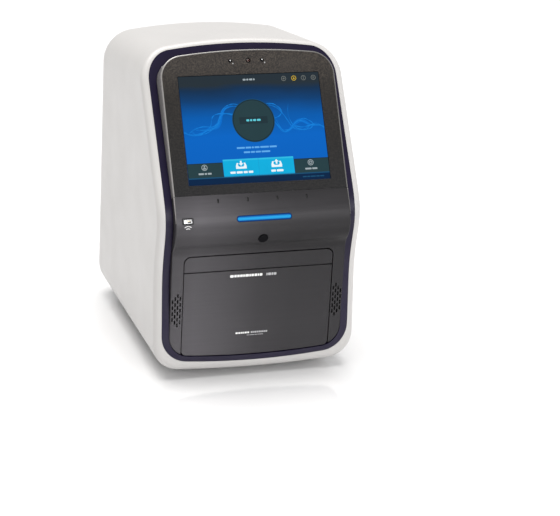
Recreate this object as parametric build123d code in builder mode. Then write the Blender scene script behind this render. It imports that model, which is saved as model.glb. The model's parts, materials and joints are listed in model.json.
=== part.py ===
from build123d import *
import os
from math import acos, cos, pi, radians, sin, sqrt, tan

# Bench-top thermal cycler with optical read-out, in millimetres.
# X runs across the front, Y from the front to the back, Z up. The origin is on the bench,
# in the middle of the footprint.

# ---------------------------------------------------------------- driving dimensions
DEPTH = 458.0                    # nose of the fascia to the back of the casing
NOSE_Y = -DEPTH / 2
REAR_Y = DEPTH / 2
FRONT_Y = NOSE_Y + 18.0          # plane of the drawer's front
WALL = 3.0                       # moulded casing wall
SKIN = 3.0                       # moulded fascia skin

# Casing: a bowed, round-cornered outline whose top falls towards the back.
CASE_HALF = 177.0
CASE_TOP_FRONT = 569.0           # height of the top line carried on to the front plane
CASE_TOP_REAR = 506.0
CASE_TOP_BOW = 900.0
CASE_TOP_CORNER = 58.0
CASE_BOTTOM = 12.0
CASE_BOTTOM_BOW = 2000.0
CASE_BOTTOM_CORNER = 46.0
CASE_REAR_ROUND = 42.0
RIM_ROUND = 11.0
RIM_DEPTH = 14.0

# Trim ring between the casing and the fascia.
RING_HALF = 164.3
RING_TOP = 536.0
RING_TOP_BOW = 1100.0
RING_TOP_CORNER = 44.0
RING_BOTTOM = 27.7
RING_BOTTOM_BOW = 1313.0
RING_BOTTOM_CORNER = 47.0
RING_DEPTH = 12.0
RING_LEAN = 0.703                # run back per unit of height along the upper stretch

# Fascia: upright at the drawer, an S into the nose, then a leaning screen plane.
FASCIA_HALF = 151.5
FASCIA_BOTTOM = 37.0
FASCIA_BOTTOM_BOW = 1400.0
FASCIA_BOTTOM_CORNER = 36.0
UPRIGHT_TOP = 219.0
HOLLOW_RADIUS = 33.0
BROW_RADIUS = 46.3
S_TURN = 39.4                    # degrees turned by each half of the S
NOSE_RADIUS = 60.0
LEAN = 30.54                     # degrees from the vertical
SEAM_Z = 325.0                   # foot of the screen panel
SCREEN_LENGTH = 244.4            # seam to the top of the fascia, along the slope
SCREEN_BOW = 1000.0
SCREEN_CORNER = 40.0
BEZEL_DEPTH = 38.0
BEZEL_EDGE = 2.2                 # metal edge left showing round the screen panel
PANEL_THICK = 2.4

DISPLAY_W = 245.8                # a 12.1 inch 4:3 display's picture area
DISPLAY_H = 184.3
DISPLAY_FOOT = 17.4              # picture's foot above the seam, along the slope

# Drawer.
DRAWER_HALF = 130.0
DRAWER_GAP = 1.2                 # gap at the drawer's sides
DRAWER_TOP_GAP = 1.9
DRAWER_SEAM_Z = 191.4            # seam between the drawer's panel and the strip above it
SEAM_GAP = 1.4
DRAWER_CORNER = 11.0
DRAWER_FOOT_CORNER = 9.0
FRONT_THICK = 6.0
FRONT_ROUND = 0.8
TRAY_Z = 58.0
TRAY_HALF = 118.6
TRAY_REAR = 75.0
RAIL_FRONT = -200.0
RAIL_LENGTH = 370.0
RAIL_LOW = 70.0
RAIL_HIGH = 108.0
RAIL_GAUGE = 1.4
TRAY_FRONT = FRONT_Y + FRONT_THICK
TRAY_GAUGE = 1.6
TRAY_TOP = 208.0                 # top of the tray's front plate

# Sample block and heated cover.
BLOCK_Y = -45.0
WELL_PITCH = 9.0
BLOCK_TOP = 176.0
NEST_W = 129.0
NEST_D = 87.0
FRAME_TOP = 182.0
FRAME_FOOT = 134.0
FRAME_HALF_X = 92.0
FRAME_HALF_Y = 100.0
SCREW_SPAN_X = 144.0             # block screws, in two rectangles
SCREW_SPAN_Y = (70.0, 146.0)
HEAT_SINK_Z = 124.0              # underside of the heat sink's base
MODULE_Z = 132.0
BLOCK_Z = 135.6
SOCKET_Z = 153.0                 # block connector
COVER_Z = 189.0                  # underside of the heated plate at rest
PLATE_TOP = COVER_Z + 8
CARRIER_TOP = PLATE_TOP + 10
DECK_Z = 234.0
DECK_THICK = 2.0
DECK_TOP = DECK_Z + DECK_THICK
POST_X = 78.0
POST_Y = 58.0
POST_R = 4.0
SLIDE_FIT = 0.06                 # radial running clearance
SCREW_Y = 50.0                   # lead screw of the heated cover

# Chassis.
BASE_Z = 20.8
BASE_THICK = 2.4
BASE_TOP = BASE_Z + BASE_THICK
PLATE_X = 133.0                  # inner face of the side plates
PLATE_THICK = 1.6
BOARD_X = 126.0
FOOT_X = 108.0
FOOT_FRONT = -130.0
FOOT_REAR = 150.0
FOOT_R = 16.0
FEET = [(x, y) for x in (-FOOT_X, FOOT_X) for y in (FOOT_FRONT, FOOT_REAR)]

# Rack and pinion.
MODULE = 1.0
PITCH = pi * MODULE
PINION_TEETH = 20
PINION_R = MODULE * PINION_TEETH / 2
PINION_X = 60.0
PINION_Y = -187.0
RACK_PITCH_Z = 52.0
PINION_Z = RACK_PITCH_Z - PINION_R - 0.1
BACKLASH = 0.3
TOOTH = PITCH / 2 - BACKLASH
PRESSURE = radians(20)
DEDENDUM = 1.25 * MODULE
RACK_TEETH = 84
RACK_TOP = TRAY_Z
RACK_WIDTH = 6.0
MOTOR_X = 68.0                   # output face of the drawer's motor

# Optics.
AXIS_Y = -54.0                   # upright optical axis above the block
AXIS_Z = 310.0                   # level optical axis behind the splitter
WHEEL_R = 52.0
WHEEL_X = 38.0                   # wheel centre from the optical axis
FILTER_R = 11.0
HOUSING_TOP = 372.0
HOUSING_X = 70.0
HOUSING_FRONT = -128.0
HOUSING_REAR = 20.0
BEAM_R = 16.0                    # openings along both axes
BRACKET_Y = HOUSING_REAR + 32
BRIDGE_Z = 408.0

# Rear panel.
PANEL_Y = 223.7                  # inner face
PANEL_OUT = 225.7
PANEL_W = 252.0
PANEL_H = 392.0
PANEL_MID_Z = 250.0
PANEL_SCREW_X = 122.0
PANEL_SCREW_Z = (90.0, 250.0, 410.0)
LOUVRE = (26.0, 4.0)
LOUVRE_Z = 325.0
FAN_X = 56.0
FAN_Z = 150.0
FAN_SIZE = 92.0
FAN_BORE = 43.6
FAN_DEPTH = 25.0
GUARD_RADII = (44, 36, 28, 20, 12)
FAN_FRONT = PANEL_Y - FAN_DEPTH
PORT_Z = 80.0
INLET_X = -80.0
SWITCH_X = -46.0
NETWORK_X = 46.0
USB_REAR_X = 76.0
ROCKER_Y = 220.0
ROCKER_TILT = 6.0
ROCKER_PIN = 1.5
INLET_BODY = (28.0, 20.0)
INLET_FLANGE = (32.0, 24.0)
SWITCH_BODY = (14.4, 20.4)
SWITCH_FLANGE = (18.0, 24.0)
NETWORK_BODY = (16.0, 13.5)
USB_BODY = (14.0, 15.6)
USB_SOCKET = (12.5, 5.12)
PORT_FIT = 0.2                   # holes over the sockets' bodies
INLET_HOLE = (INLET_BODY[0] + 2 * PORT_FIT, INLET_BODY[1] + 2 * PORT_FIT)
SWITCH_HOLE = (SWITCH_BODY[0] + 2 * PORT_FIT, SWITCH_BODY[1] + 2 * PORT_FIT)
NETWORK_HOLE = (NETWORK_BODY[0] + PORT_FIT, NETWORK_BODY[1] + PORT_FIT)
USB_HOLE = (USB_BODY[0] + PORT_FIT, USB_BODY[1] + PORT_FIT)
PORT_PLATE = (66.0, 32.0)
PORT_PLATE_X = 61.0
PORT_PLATE_THICK = 0.8
PORT_PLATE_LAP = 4.0             # plate's edge on the panel round the cut-out
PORT_PLATE_OUT = PANEL_OUT + PORT_PLATE_THICK
PORT_CUT_OUT = (PORT_PLATE[0] - 2 * PORT_PLATE_LAP, PORT_PLATE[1] - 2 * PORT_PLATE_LAP)

# Features of the front.
BAR_Z = 288.0
BAR_LENGTH = 91.8
BAR_HEIGHT = 6.4
WINDOW_Z = 251.0
WINDOW_R = 8.6
USB_X = -131.0
USB_Z = 288.6
MIC_S = -10.4                    # microphone slots, along the slope from the seam
MIC_X = (-76.7, -25.6, 25.6, 76.7)
VENT_X = 141.4
VENT_Z = 126.0
VENT_COLUMNS = (5, 6, 5, 4)      # slots in each column, from the drawer outwards
VENT_PITCH = (4.4, 10.6)
VENT_SLOT = (7.4, 2.5)
SENSOR_S = 225.2                 # camera and sensors, along the slope from the seam
CAMERA_X = 1.8
SENSOR_X = (-29.4, 26.0)
LED_X = (-25.2, 30.2)
LED_S = SENSOR_S - 4.6
PICTURE = (0, DISPLAY_FOOT + DISPLAY_H / 2)

os.makedirs("parts", exist_ok=True)


# ---------------------------------------------------------------- shared outlines
def across(y):
    """Upright plane at depth y, drawn in X and Z."""
    return Plane.XZ.offset(-y)


def bowed_outline(plane, half, top, top_bow, top_corner, bottom, bottom_bow, bottom_corner):
    """Round-cornered rectangle whose top and bottom bow outwards."""
    top_side = top - half**2 / (2 * top_bow)
    bottom_side = bottom + half**2 / (2 * bottom_bow)
    with BuildSketch(plane) as outline:
        with BuildLine():
            Line((-half, bottom_side), (-half, top_side))
            ThreePointArc((-half, top_side), (0, top), (half, top_side))
            Line((half, top_side), (half, bottom_side))
            ThreePointArc((half, bottom_side), (0, bottom), (-half, bottom_side))
        make_face()
        fillet(outline.vertices().group_by(Axis.Y)[-1], radius=top_corner)
        fillet(outline.vertices().group_by(Axis.Y)[0], radius=bottom_corner)
    return outline.sketch


def casing_outline(y, inset=0.0):
    """Casing outline at depth y; the top line falls evenly from front to back."""
    share = (y - NOSE_Y) / (REAR_Y - NOSE_Y)
    top = CASE_TOP_FRONT + (CASE_TOP_REAR - CASE_TOP_FRONT) * share
    return bowed_outline(across(y), CASE_HALF - inset, top - inset, CASE_TOP_BOW,
                         CASE_TOP_CORNER - inset, CASE_BOTTOM + inset, CASE_BOTTOM_BOW,
                         CASE_BOTTOM_CORNER - inset)


def ring_outline(y, outset=0.0):
    return bowed_outline(across(y), RING_HALF + outset, RING_TOP + outset, RING_TOP_BOW,
                         RING_TOP_CORNER + outset, RING_BOTTOM - outset, RING_BOTTOM_BOW,
                         RING_BOTTOM_CORNER + outset)


def fascia_outline(y, inset=0.0):
    """Lower fascia's outline, carried past the seam so that the seam plane can cut it."""
    return bowed_outline(across(y), FASCIA_HALF - inset, 400, 2000, 5,
                         FASCIA_BOTTOM + inset, FASCIA_BOTTOM_BOW, FASCIA_BOTTOM_CORNER - inset)


def screen_outline(plane, inset=0.0, foot=0.3):
    """Screen outline on the leaning plane: straight foot, round top corners, bowed top."""
    half = FASCIA_HALF - inset
    top = SCREEN_LENGTH - inset
    side = top - half**2 / (2 * SCREEN_BOW)
    with BuildSketch(plane) as outline:
        with BuildLine():
            Line((-half, foot), (-half, side))
            ThreePointArc((-half, side), (0, top), (half, side))
            Line((half, side), (half, foot))
            Line((half, foot), (-half, foot))
        make_face()
        fillet(outline.vertices().group_by(Axis.Y)[-1], radius=SCREEN_CORNER - inset)
    return outline.sketch


def ring_side(shift, far):
    """Region between the ring's front surface, moved back by shift, and the plane Y = far."""
    low = [(-215.5, 0), (-211, 60), (-204.8, 132), (-201.3, 185),
           (-206, 228), (-212.4, 270), (-206.3, 300), (-192.2, 324)]
    points = [(y + shift, z) for y, z in low]
    high_z = 640
    high = (points[-1][0] + (high_z - 324) * RING_LEAN, high_z)
    with BuildSketch(Plane.YZ) as region:
        with BuildLine():
            Spline(*points, tangents=[(0.075, 1), (RING_LEAN, 1)])
            Line(points[-1], high)
            Line(high, (far, high_z))
            Line((far, high_z), (far, 0))
            Line((far, 0), points[0])
        make_face()
    return region.sketch


def fascia_side(shift, far):
    """Region between the fascia's front surface, moved back by shift, and the plane Y = far."""
    with BuildSketch(Plane.YZ) as region:
        with BuildLine():
            upright = Line((FRONT_Y + shift, 0), (FRONT_Y + shift, UPRIGHT_TOP))
            hollow = JernArc(upright @ 1, (0, 1), HOLLOW_RADIUS, S_TURN)
            brow = JernArc(hollow @ 1, hollow % 1, BROW_RADIUS, -S_TURN)
            nose = JernArc(brow @ 1, (0, 1), NOSE_RADIUS, -LEAN)
            slope = Line(nose @ 1, nose @ 1 + (nose % 1) * 300)
            Line(slope @ 1, (far, (slope @ 1).Y))
            Line((far, (slope @ 1).Y), (far, 0))
            Line((far, 0), upright @ 0)
        make_face()
    return region.sketch


# Nose and slope of the fascia, worked out from its arcs.
NOSE_Z = UPRIGHT_TOP + (HOLLOW_RADIUS + BROW_RADIUS) * sin(radians(S_TURN))
SLOPE_Z = NOSE_Z + NOSE_RADIUS * sin(radians(LEAN))
SLOPE_Y = NOSE_Y + NOSE_RADIUS * (1 - cos(radians(LEAN)))
SEAM_Y = SLOPE_Y + (SEAM_Z - SLOPE_Z) * tan(radians(LEAN))
SCREEN = Plane(origin=(0, SEAM_Y, SEAM_Z), x_dir=(1, 0, 0),
               z_dir=(0, -cos(radians(LEAN)), sin(radians(LEAN))))


def on_nose(x, z):
    """Plane square to the fascia's nose or brow at height z, with its normal outwards."""
    radius = NOSE_RADIUS if z > NOSE_Z else BROW_RADIUS
    rise = (z - NOSE_Z) / radius
    level = sqrt(1 - rise**2)
    return Plane(origin=(x, NOSE_Y + radius * (1 - level), z), x_dir=(1, 0, 0), z_dir=(0, -level, rise))


def vent_slots(plane):
    """Columns of upright slots in front of one loudspeaker."""
    with BuildSketch(plane) as slots:
        for column, count in enumerate(VENT_COLUMNS):
            with Locations(((column - 1.5) * VENT_PITCH[0], 0)):
                with GridLocations(1, VENT_PITCH[1], 1, count):
                    SlotOverall(*VENT_SLOT, rotation=90)
    return slots.sketch


BACK_SCREWS = [Plane(origin=(x, REAR_Y, z), x_dir=(1, 0, 0), z_dir=(0, 1, 0))
               for x in (-122, 122) for z in (90, 250, 410)]


# ---------------------------------------------------------------- casing
with BuildPart() as cavity:
    loft(sections=[casing_outline(NOSE_Y - 6, WALL), casing_outline(REAR_Y - WALL, WALL)])
    fillet(cavity.faces().sort_by(Axis.Y)[-1].edges(), radius=CASE_REAR_ROUND - WALL)
    extrude(ring_side(RIM_DEPTH, -400), amount=200, both=True, mode=Mode.SUBTRACT)

with BuildPart() as ring_opening:
    extrude(ring_outline(-260, 0.4), amount=-330)
    extrude(ring_side(RIM_DEPTH + 2, 400), amount=200, both=True, mode=Mode.SUBTRACT)

with BuildPart() as main_casing:
    loft(sections=[casing_outline(NOSE_Y - 6), casing_outline(REAR_Y)])
    fillet(main_casing.faces().sort_by(Axis.Y)[-1].edges(), radius=CASE_REAR_ROUND)
    extrude(ring_side(0, -400), amount=200, both=True, mode=Mode.SUBTRACT)
    front = main_casing.faces().filter_by(lambda face: face.normal_at().Y < -0.5)
    rim = front.edges().filter_by(lambda edge: abs(edge.center().X) > 1 or not 100 < edge.center().Z < 500)
    fillet(rim, radius=RIM_ROUND)
    add(cavity.part, mode=Mode.SUBTRACT)
    add(ring_opening.part, mode=Mode.SUBTRACT)
    with BuildSketch(across(REAR_Y + 5)):
        with Locations((0, 250)):
            RectangleRounded(236, 376, 8)
    extrude(amount=12, mode=Mode.SUBTRACT)
    with BuildSketch(Plane.XY):
        with Locations((0, 12)):
            RectangleRounded(256, 325, 12)
    extrude(amount=40, mode=Mode.SUBTRACT)
    with Locations(*BACK_SCREWS):
        CounterSinkHole(radius=2.1, counter_sink_radius=3.8, depth=9)
main_casing.part.label = "main_casing"
export_step(main_casing.part, "parts/main_casing.step")


# ---------------------------------------------------------------- front
with BuildPart() as trim_ring:
    extrude(ring_outline(-260), amount=-320)
    extrude(ring_side(0, -400), amount=200, both=True, mode=Mode.SUBTRACT)
    extrude(ring_side(RING_DEPTH, 400), amount=200, both=True, mode=Mode.SUBTRACT)
    extrude(fascia_outline(-260, -0.5), amount=-80, mode=Mode.SUBTRACT)
    extrude(screen_outline(SCREEN.offset(40), -0.5, -60), amount=-130, mode=Mode.SUBTRACT)
trim_ring.part.label = "trim_ring"
export_step(trim_ring.part, "parts/trim_ring.step")

with BuildPart() as fascia_hollow:
    extrude(fascia_outline(-260, 2), amount=-100)
    extrude(fascia_side(SKIN, -400), amount=200, both=True, mode=Mode.SUBTRACT)

with BuildPart() as lower_fascia:
    extrude(fascia_outline(-260), amount=-100)
    extrude(fascia_side(0, -400), amount=200, both=True, mode=Mode.SUBTRACT)
    extrude(ring_side(8, 400), amount=200, both=True, mode=Mode.SUBTRACT)
    with BuildSketch(SCREEN.offset(100)):
        with Locations((0, 150)):
            Rectangle(400, 300)
    extrude(amount=-200, mode=Mode.SUBTRACT)
    front = lower_fascia.faces().filter_by(lambda face: face.normal_at().Y < -0.8)
    sides = front.edges().filter_by(lambda edge: abs(edge.center().X) > 100)
    fillet(sides, radius=1.6)
    add(fascia_hollow.part, mode=Mode.SUBTRACT)
    with BuildSketch(across(-260)):
        with Locations((0, 100)):
            opening = Rectangle(2 * (DRAWER_HALF + DRAWER_GAP), 2 * (UPRIGHT_TOP + DRAWER_TOP_GAP - 100))
        fillet(opening.vertices().group_by(Axis.Y)[-1], radius=DRAWER_CORNER + DRAWER_GAP)
    extrude(amount=-100, mode=Mode.SUBTRACT)
    for side in (-1, 1):
        vent_plane = Plane(origin=(side * VENT_X, -220, VENT_Z), x_dir=(side, 0, 0), z_dir=(0, -1, 0))
        extrude(vent_slots(vent_plane), amount=-14, mode=Mode.SUBTRACT)
    with BuildSketch(on_nose(0, BAR_Z)):
        SlotOverall(BAR_LENGTH + 0.5, BAR_HEIGHT + 0.5)
    extrude(amount=8, both=True, mode=Mode.SUBTRACT)
    with BuildSketch(on_nose(0, WINDOW_Z)):
        Circle(WINDOW_R + 0.3)
    extrude(amount=8, both=True, mode=Mode.SUBTRACT)
    with BuildSketch(on_nose(USB_X, USB_Z)):
        RectangleRounded(19.4, 11.4, 1.8)
    extrude(amount=8, both=True, mode=Mode.SUBTRACT)
    with BuildSketch(SCREEN):
        with Locations(*[(x, MIC_S) for x in MIC_X]):
            SlotOverall(7, 3.2, rotation=90)
    extrude(amount=6, both=True, mode=Mode.SUBTRACT)
lower_fascia.part.label = "lower_fascia"
export_step(lower_fascia.part, "parts/lower_fascia.step")

with BuildPart() as screen_bezel:
    extrude(screen_outline(SCREEN), amount=-BEZEL_DEPTH)
    front = screen_bezel.faces().filter_by(lambda face: face.normal_at().dot(SCREEN.z_dir) > 0.99)
    fillet(front.edges().filter_by(lambda edge: edge.center().Z > SEAM_Z + 5), radius=1.6)
    extrude(screen_outline(SCREEN, BEZEL_EDGE, -2), amount=-PANEL_THICK, mode=Mode.SUBTRACT)
    extrude(screen_outline(SCREEN.offset(-5), 4, 3.3), amount=-40, mode=Mode.SUBTRACT)
    with BuildSketch(SCREEN):
        with Locations(PICTURE):
            Rectangle(DISPLAY_W + 16, DISPLAY_H + 16)
        with Locations((CAMERA_X, SENSOR_S)):
            Circle(5.4)
        with Locations(*[(x, SENSOR_S) for x in SENSOR_X]):
            Circle(4.2)
        with Locations(*[(x, LED_S) for x in LED_X]):
            Circle(1.6)
    extrude(amount=-6, mode=Mode.SUBTRACT)
screen_bezel.part.label = "screen_bezel"
export_step(screen_bezel.part, "parts/screen_bezel.step")

with BuildPart() as screen_panel:
    extrude(screen_outline(SCREEN.offset(-0.15), BEZEL_EDGE + 0.15, 0.5), amount=0.15 - PANEL_THICK)
    with BuildSketch(SCREEN):
        with Locations(PICTURE):
            Rectangle(DISPLAY_W + 0.6, DISPLAY_H + 0.6)
        with Locations((CAMERA_X, SENSOR_S)):
            Circle(4.4)
        with Locations(*[(x, SENSOR_S) for x in SENSOR_X]):
            Circle(3.3)
        with Locations(*[(x, LED_S) for x in LED_X]):
            Circle(1.1)
    extrude(amount=-6, mode=Mode.SUBTRACT)
screen_panel.part.label = "screen_panel"
export_step(screen_panel.part, "parts/screen_panel.step")

with BuildPart() as touch_display:
    with BuildSketch(SCREEN.offset(-0.4)):
        with Locations(PICTURE):
            Rectangle(DISPLAY_W, DISPLAY_H)
    extrude(amount=0.4 - 3)
    with BuildSketch(SCREEN.offset(-2.8)):
        with Locations(PICTURE):
            Rectangle(DISPLAY_W + 14, DISPLAY_H + 14)
    extrude(amount=-6)
touch_display.part.label = "touch_display"
export_step(touch_display.part, "parts/touch_display.step")

with BuildPart() as front_sensors:
    with BuildSketch(SCREEN.offset(-0.6)):
        with Locations((CAMERA_X, SENSOR_S)):
            Circle(4.2)
    extrude(amount=-12)
    with BuildSketch(SCREEN.offset(-0.5)):
        with Locations(*[(x, SENSOR_S) for x in SENSOR_X]):
            Circle(3.1)
    extrude(amount=-9)
    with BuildSketch(SCREEN.offset(-0.1)):
        with Locations(*[(x, LED_S) for x in LED_X]):
            Circle(0.95)
    extrude(amount=-8)
front_sensors.part.label = "front_sensors"
export_step(front_sensors.part, "parts/front_sensors.step")

with BuildPart() as status_light:
    with BuildSketch(on_nose(0, BAR_Z).offset(-5)):
        SlotOverall(BAR_LENGTH, BAR_HEIGHT)
    extrude(amount=5.8)
    fillet(status_light.faces().sort_by(Axis.Y)[0].edges(), radius=0.7)
status_light.part.label = "status_light"
export_step(status_light.part, "parts/status_light.step")

with BuildPart() as sensor_window:
    with BuildSketch(on_nose(0, WINDOW_Z).offset(-6)):
        Circle(WINDOW_R)
    extrude(amount=7)
    fillet(sensor_window.faces().filter_by(GeomType.PLANE).sort_by(Axis.Y)[0].edges(), radius=0.9)
sensor_window.part.label = "sensor_window"
export_step(sensor_window.part, "parts/sensor_window.step")

USB_PLANE = on_nose(USB_X, USB_Z)

with BuildPart() as usb_front_bezel:
    with BuildSketch(USB_PLANE.offset(-6)):
        RectangleRounded(19, 11, 1.6)
        Rectangle(13.4, 6.0, mode=Mode.SUBTRACT)
    extrude(amount=6.7)
usb_front_bezel.part.label = "usb_front_bezel"
export_step(usb_front_bezel.part, "parts/usb_front_bezel.step")

with BuildPart() as front_boards:
    with BuildSketch(SCREEN.offset(-12)):
        with Locations(PICTURE):
            Rectangle(170, 110)
    extrude(amount=-1.6)
    with BuildSketch(SCREEN.offset(-8.8)):
        with Locations(PICTURE):
            with GridLocations(156, 96, 2, 2):
                Circle(3)
    extrude(amount=-3.2)
    with BuildSketch(SCREEN.offset(-13.6)):
        with Locations((-40, PICTURE[1] + 10)):
            Rectangle(28, 28)
        with Locations((10, PICTURE[1] + 20), (30, PICTURE[1] - 20)):
            Rectangle(16, 12)
        with Locations((60, PICTURE[1])):
            Rectangle(12, 60)
    extrude(amount=-4)
    with BuildSketch(SCREEN.offset(-3.4)):
        with Locations((0, MIC_S)):
            RectangleRounded(186, 11, 1)
    extrude(amount=-1.6)
    with BuildSketch(SCREEN.offset(-2.9)):
        with Locations(*[(x, MIC_S) for x in MIC_X]):
            Circle(2.4)
    extrude(amount=-0.6)
front_boards.part.label = "front_boards"
export_step(front_boards.part, "parts/front_boards.step")

with BuildPart() as speakers:
    for side in (-1, 1):
        with BuildSketch(across(-207.4)):
            with Locations((side * VENT_X, VENT_Z)):
                RectangleRounded(15, 64, 3)
        extrude(amount=-13)
        with BuildSketch(across(-207.4)):
            with Locations((side * VENT_X, VENT_Z)):
                SlotOverall(56, 11, rotation=90)
        extrude(amount=-2.5, taper=20, mode=Mode.SUBTRACT)
speakers.part.label = "speakers"
export_step(speakers.part, "parts/speakers.step")


# ---------------------------------------------------------------- drawer
def drawer_outline(inset=0.0):
    return bowed_outline(across(FRONT_Y), DRAWER_HALF - inset, UPRIGHT_TOP - inset, 1e6,
                         DRAWER_CORNER - inset, FASCIA_BOTTOM + 0.4 + inset, FASCIA_BOTTOM_BOW,
                         DRAWER_FOOT_CORNER - inset)


def beyond_seam(side):
    """Rectangle over everything above the drawer's seam for side 1, or below it for side -1."""
    with BuildSketch(across(-260)) as region:
        with Locations((0, DRAWER_SEAM_Z + side * (100 - SEAM_GAP / 2))):
            Rectangle(400, 200)
    return region.sketch


with BuildPart() as drawer_front:
    extrude(drawer_outline(), amount=-FRONT_THICK)
    extrude(beyond_seam(1), amount=-100, mode=Mode.SUBTRACT)
    fillet(drawer_front.faces().sort_by(Axis.Y)[0].edges(), radius=FRONT_ROUND)
    with BuildSketch(across(FRONT_Y + 3)):
        with Locations((0, 116)):
            RectangleRounded(250, 138, 6)
    extrude(amount=-4, mode=Mode.SUBTRACT)
drawer_front.part.label = "drawer_front"
export_step(drawer_front.part, "parts/drawer_front.step")

with BuildPart() as drawer_strip:
    extrude(drawer_outline(), amount=-FRONT_THICK)
    extrude(beyond_seam(-1), amount=-100, mode=Mode.SUBTRACT)
    fillet(drawer_strip.faces().sort_by(Axis.Y)[0].edges(), radius=FRONT_ROUND)
drawer_strip.part.label = "drawer_strip"
export_step(drawer_strip.part, "parts/drawer_strip.step")

with BuildPart() as drawer_tray:
    with BuildSketch(across(TRAY_FRONT)):
        with Locations((0, (TRAY_Z + RAIL_HIGH) / 2)):
            Rectangle(2 * TRAY_HALF, RAIL_HIGH - TRAY_Z)
        with Locations((0, TRAY_Z + TRAY_GAUGE)):
            Rectangle(2 * (TRAY_HALF - TRAY_GAUGE), RAIL_HIGH + 10 - TRAY_Z - TRAY_GAUGE,
                      align=(Align.CENTER, Align.MIN), mode=Mode.SUBTRACT)
    extrude(amount=TRAY_FRONT - TRAY_REAR)
    with BuildSketch(across(TRAY_FRONT)):
        with Locations((0, (TRAY_Z + TRAY_TOP) / 2)):
            RectangleRounded(2 * TRAY_HALF - 4, TRAY_TOP - TRAY_Z, 4)
    extrude(amount=-TRAY_GAUGE)
    with BuildSketch(Plane.XY.offset(TRAY_Z - 1)):
        with Locations((0, BLOCK_Y)):
            with GridLocations(24, 0.1, 6, 1):
                SlotOverall(96, 14, rotation=90)
    extrude(amount=4, mode=Mode.SUBTRACT)
drawer_tray.part.label = "drawer_tray"
export_step(drawer_tray.part, "parts/drawer_tray.step")


def channels(web, reach, low, high):
    """A channel along Y on each side: a web at X web, flanges over the X span reach."""
    with BuildPart() as rails:
        with BuildSketch(across(RAIL_FRONT)):
            for side in (-1, 1):
                for z in (low + RAIL_GAUGE / 2, high - RAIL_GAUGE / 2):
                    with Locations((side * (reach[0] + reach[1]) / 2, z)):
                        Rectangle(reach[1] - reach[0], RAIL_GAUGE)
                with Locations((side * (web + RAIL_GAUGE / 2), (low + high) / 2)):
                    Rectangle(RAIL_GAUGE, high - low)
        extrude(amount=-RAIL_LENGTH)
    return rails.part


rails_outer = channels(131.6, (122.5, 133.0), RAIL_LOW, RAIL_HIGH)
rails_outer.label = "rails_outer"
export_step(rails_outer, "parts/rails_outer.step")
rails_middle = channels(127.2, (120.8, 130.6), RAIL_LOW + 2, RAIL_HIGH - 2)
rails_middle.label = "rails_middle"
export_step(rails_middle, "parts/rails_middle.step")
rails_inner = channels(TRAY_HALF, (TRAY_HALF, 126.2), RAIL_LOW + 5, RAIL_HIGH - 5)
rails_inner.label = "rails_inner"
export_step(rails_inner, "parts/rails_inner.step")


def rack_points():
    """Teeth that point down, with a gap over the pinion's centre at rest."""
    slope = tan(PRESSURE)
    tip = TOOTH / 2 - MODULE * slope
    foot = TOOTH / 2 + DEDENDUM * slope
    first = PINION_Y + PITCH / 2 - 5 * PITCH
    points = []
    for tooth in range(RACK_TEETH):
        y = first + tooth * PITCH
        points.append((y - foot, RACK_PITCH_Z + DEDENDUM))
        points.append((y - tip, RACK_PITCH_Z - MODULE))
        points.append((y + tip, RACK_PITCH_Z - MODULE))
        points.append((y + foot, RACK_PITCH_Z + DEDENDUM))
    return points


with BuildPart() as drawer_rack:
    teeth = rack_points()
    with BuildSketch(Plane.YZ.offset(PINION_X - RACK_WIDTH / 2)):
        with BuildLine():
            Polyline(*teeth, (teeth[-1][0] + 1, teeth[-1][1]), (teeth[-1][0] + 1, RACK_TOP),
                     (teeth[0][0] - 0.4, RACK_TOP), (teeth[0][0] - 0.4, teeth[0][1]), close=True)
        make_face()
    extrude(amount=RACK_WIDTH)
drawer_rack.part.label = "drawer_rack"
export_step(drawer_rack.part, "parts/drawer_rack.step")


def pinion_tooth():
    """One involute tooth, pointing along +X, from just under the root to the tip."""
    base = PINION_R * cos(PRESSURE)
    tip = PINION_R + MODULE * 0.95
    start = TOOTH / (2 * PINION_R) + tan(PRESSURE) - PRESSURE
    flank = [(PINION_R - 1.6 * MODULE, start)]
    for step in range(6):
        radius = base + (tip - base) * step / 5
        angle = acos(base / radius)
        flank.append((radius, start - (tan(angle) - angle)))
    upper = [(r * cos(a), r * sin(a)) for r, a in flank]
    return upper + [(x, -y) for x, y in reversed(upper)]


with BuildPart() as drive_pinion:
    with BuildSketch(Plane.YZ.offset(PINION_X - RACK_WIDTH / 2)):
        with Locations((PINION_Y, PINION_Z)):
            Circle(PINION_R - DEDENDUM)
            with PolarLocations(0, PINION_TEETH):
                Polygon(*pinion_tooth(), align=None)
    extrude(amount=RACK_WIDTH)
    with BuildSketch(Plane.YZ.offset(PINION_X - 5)):
        with Locations((PINION_Y, PINION_Z)):
            Circle(5)
    extrude(amount=10)
    with BuildSketch(Plane.YZ.offset(PINION_X)):
        with Locations((PINION_Y, PINION_Z)):
            Circle(3)
    extrude(amount=19)
drive_pinion.part.label = "drive_pinion"
export_step(drive_pinion.part, "parts/drive_pinion.step")

# ---------------------------------------------------------------- sample block
def block_screw_places():
    """Eight screws round the block."""
    return [(side_x * SCREW_SPAN_X / 2, BLOCK_Y + side_y * span / 2)
            for span in SCREW_SPAN_Y for side_x in (-1, 1) for side_y in (-1, 1)]


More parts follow.
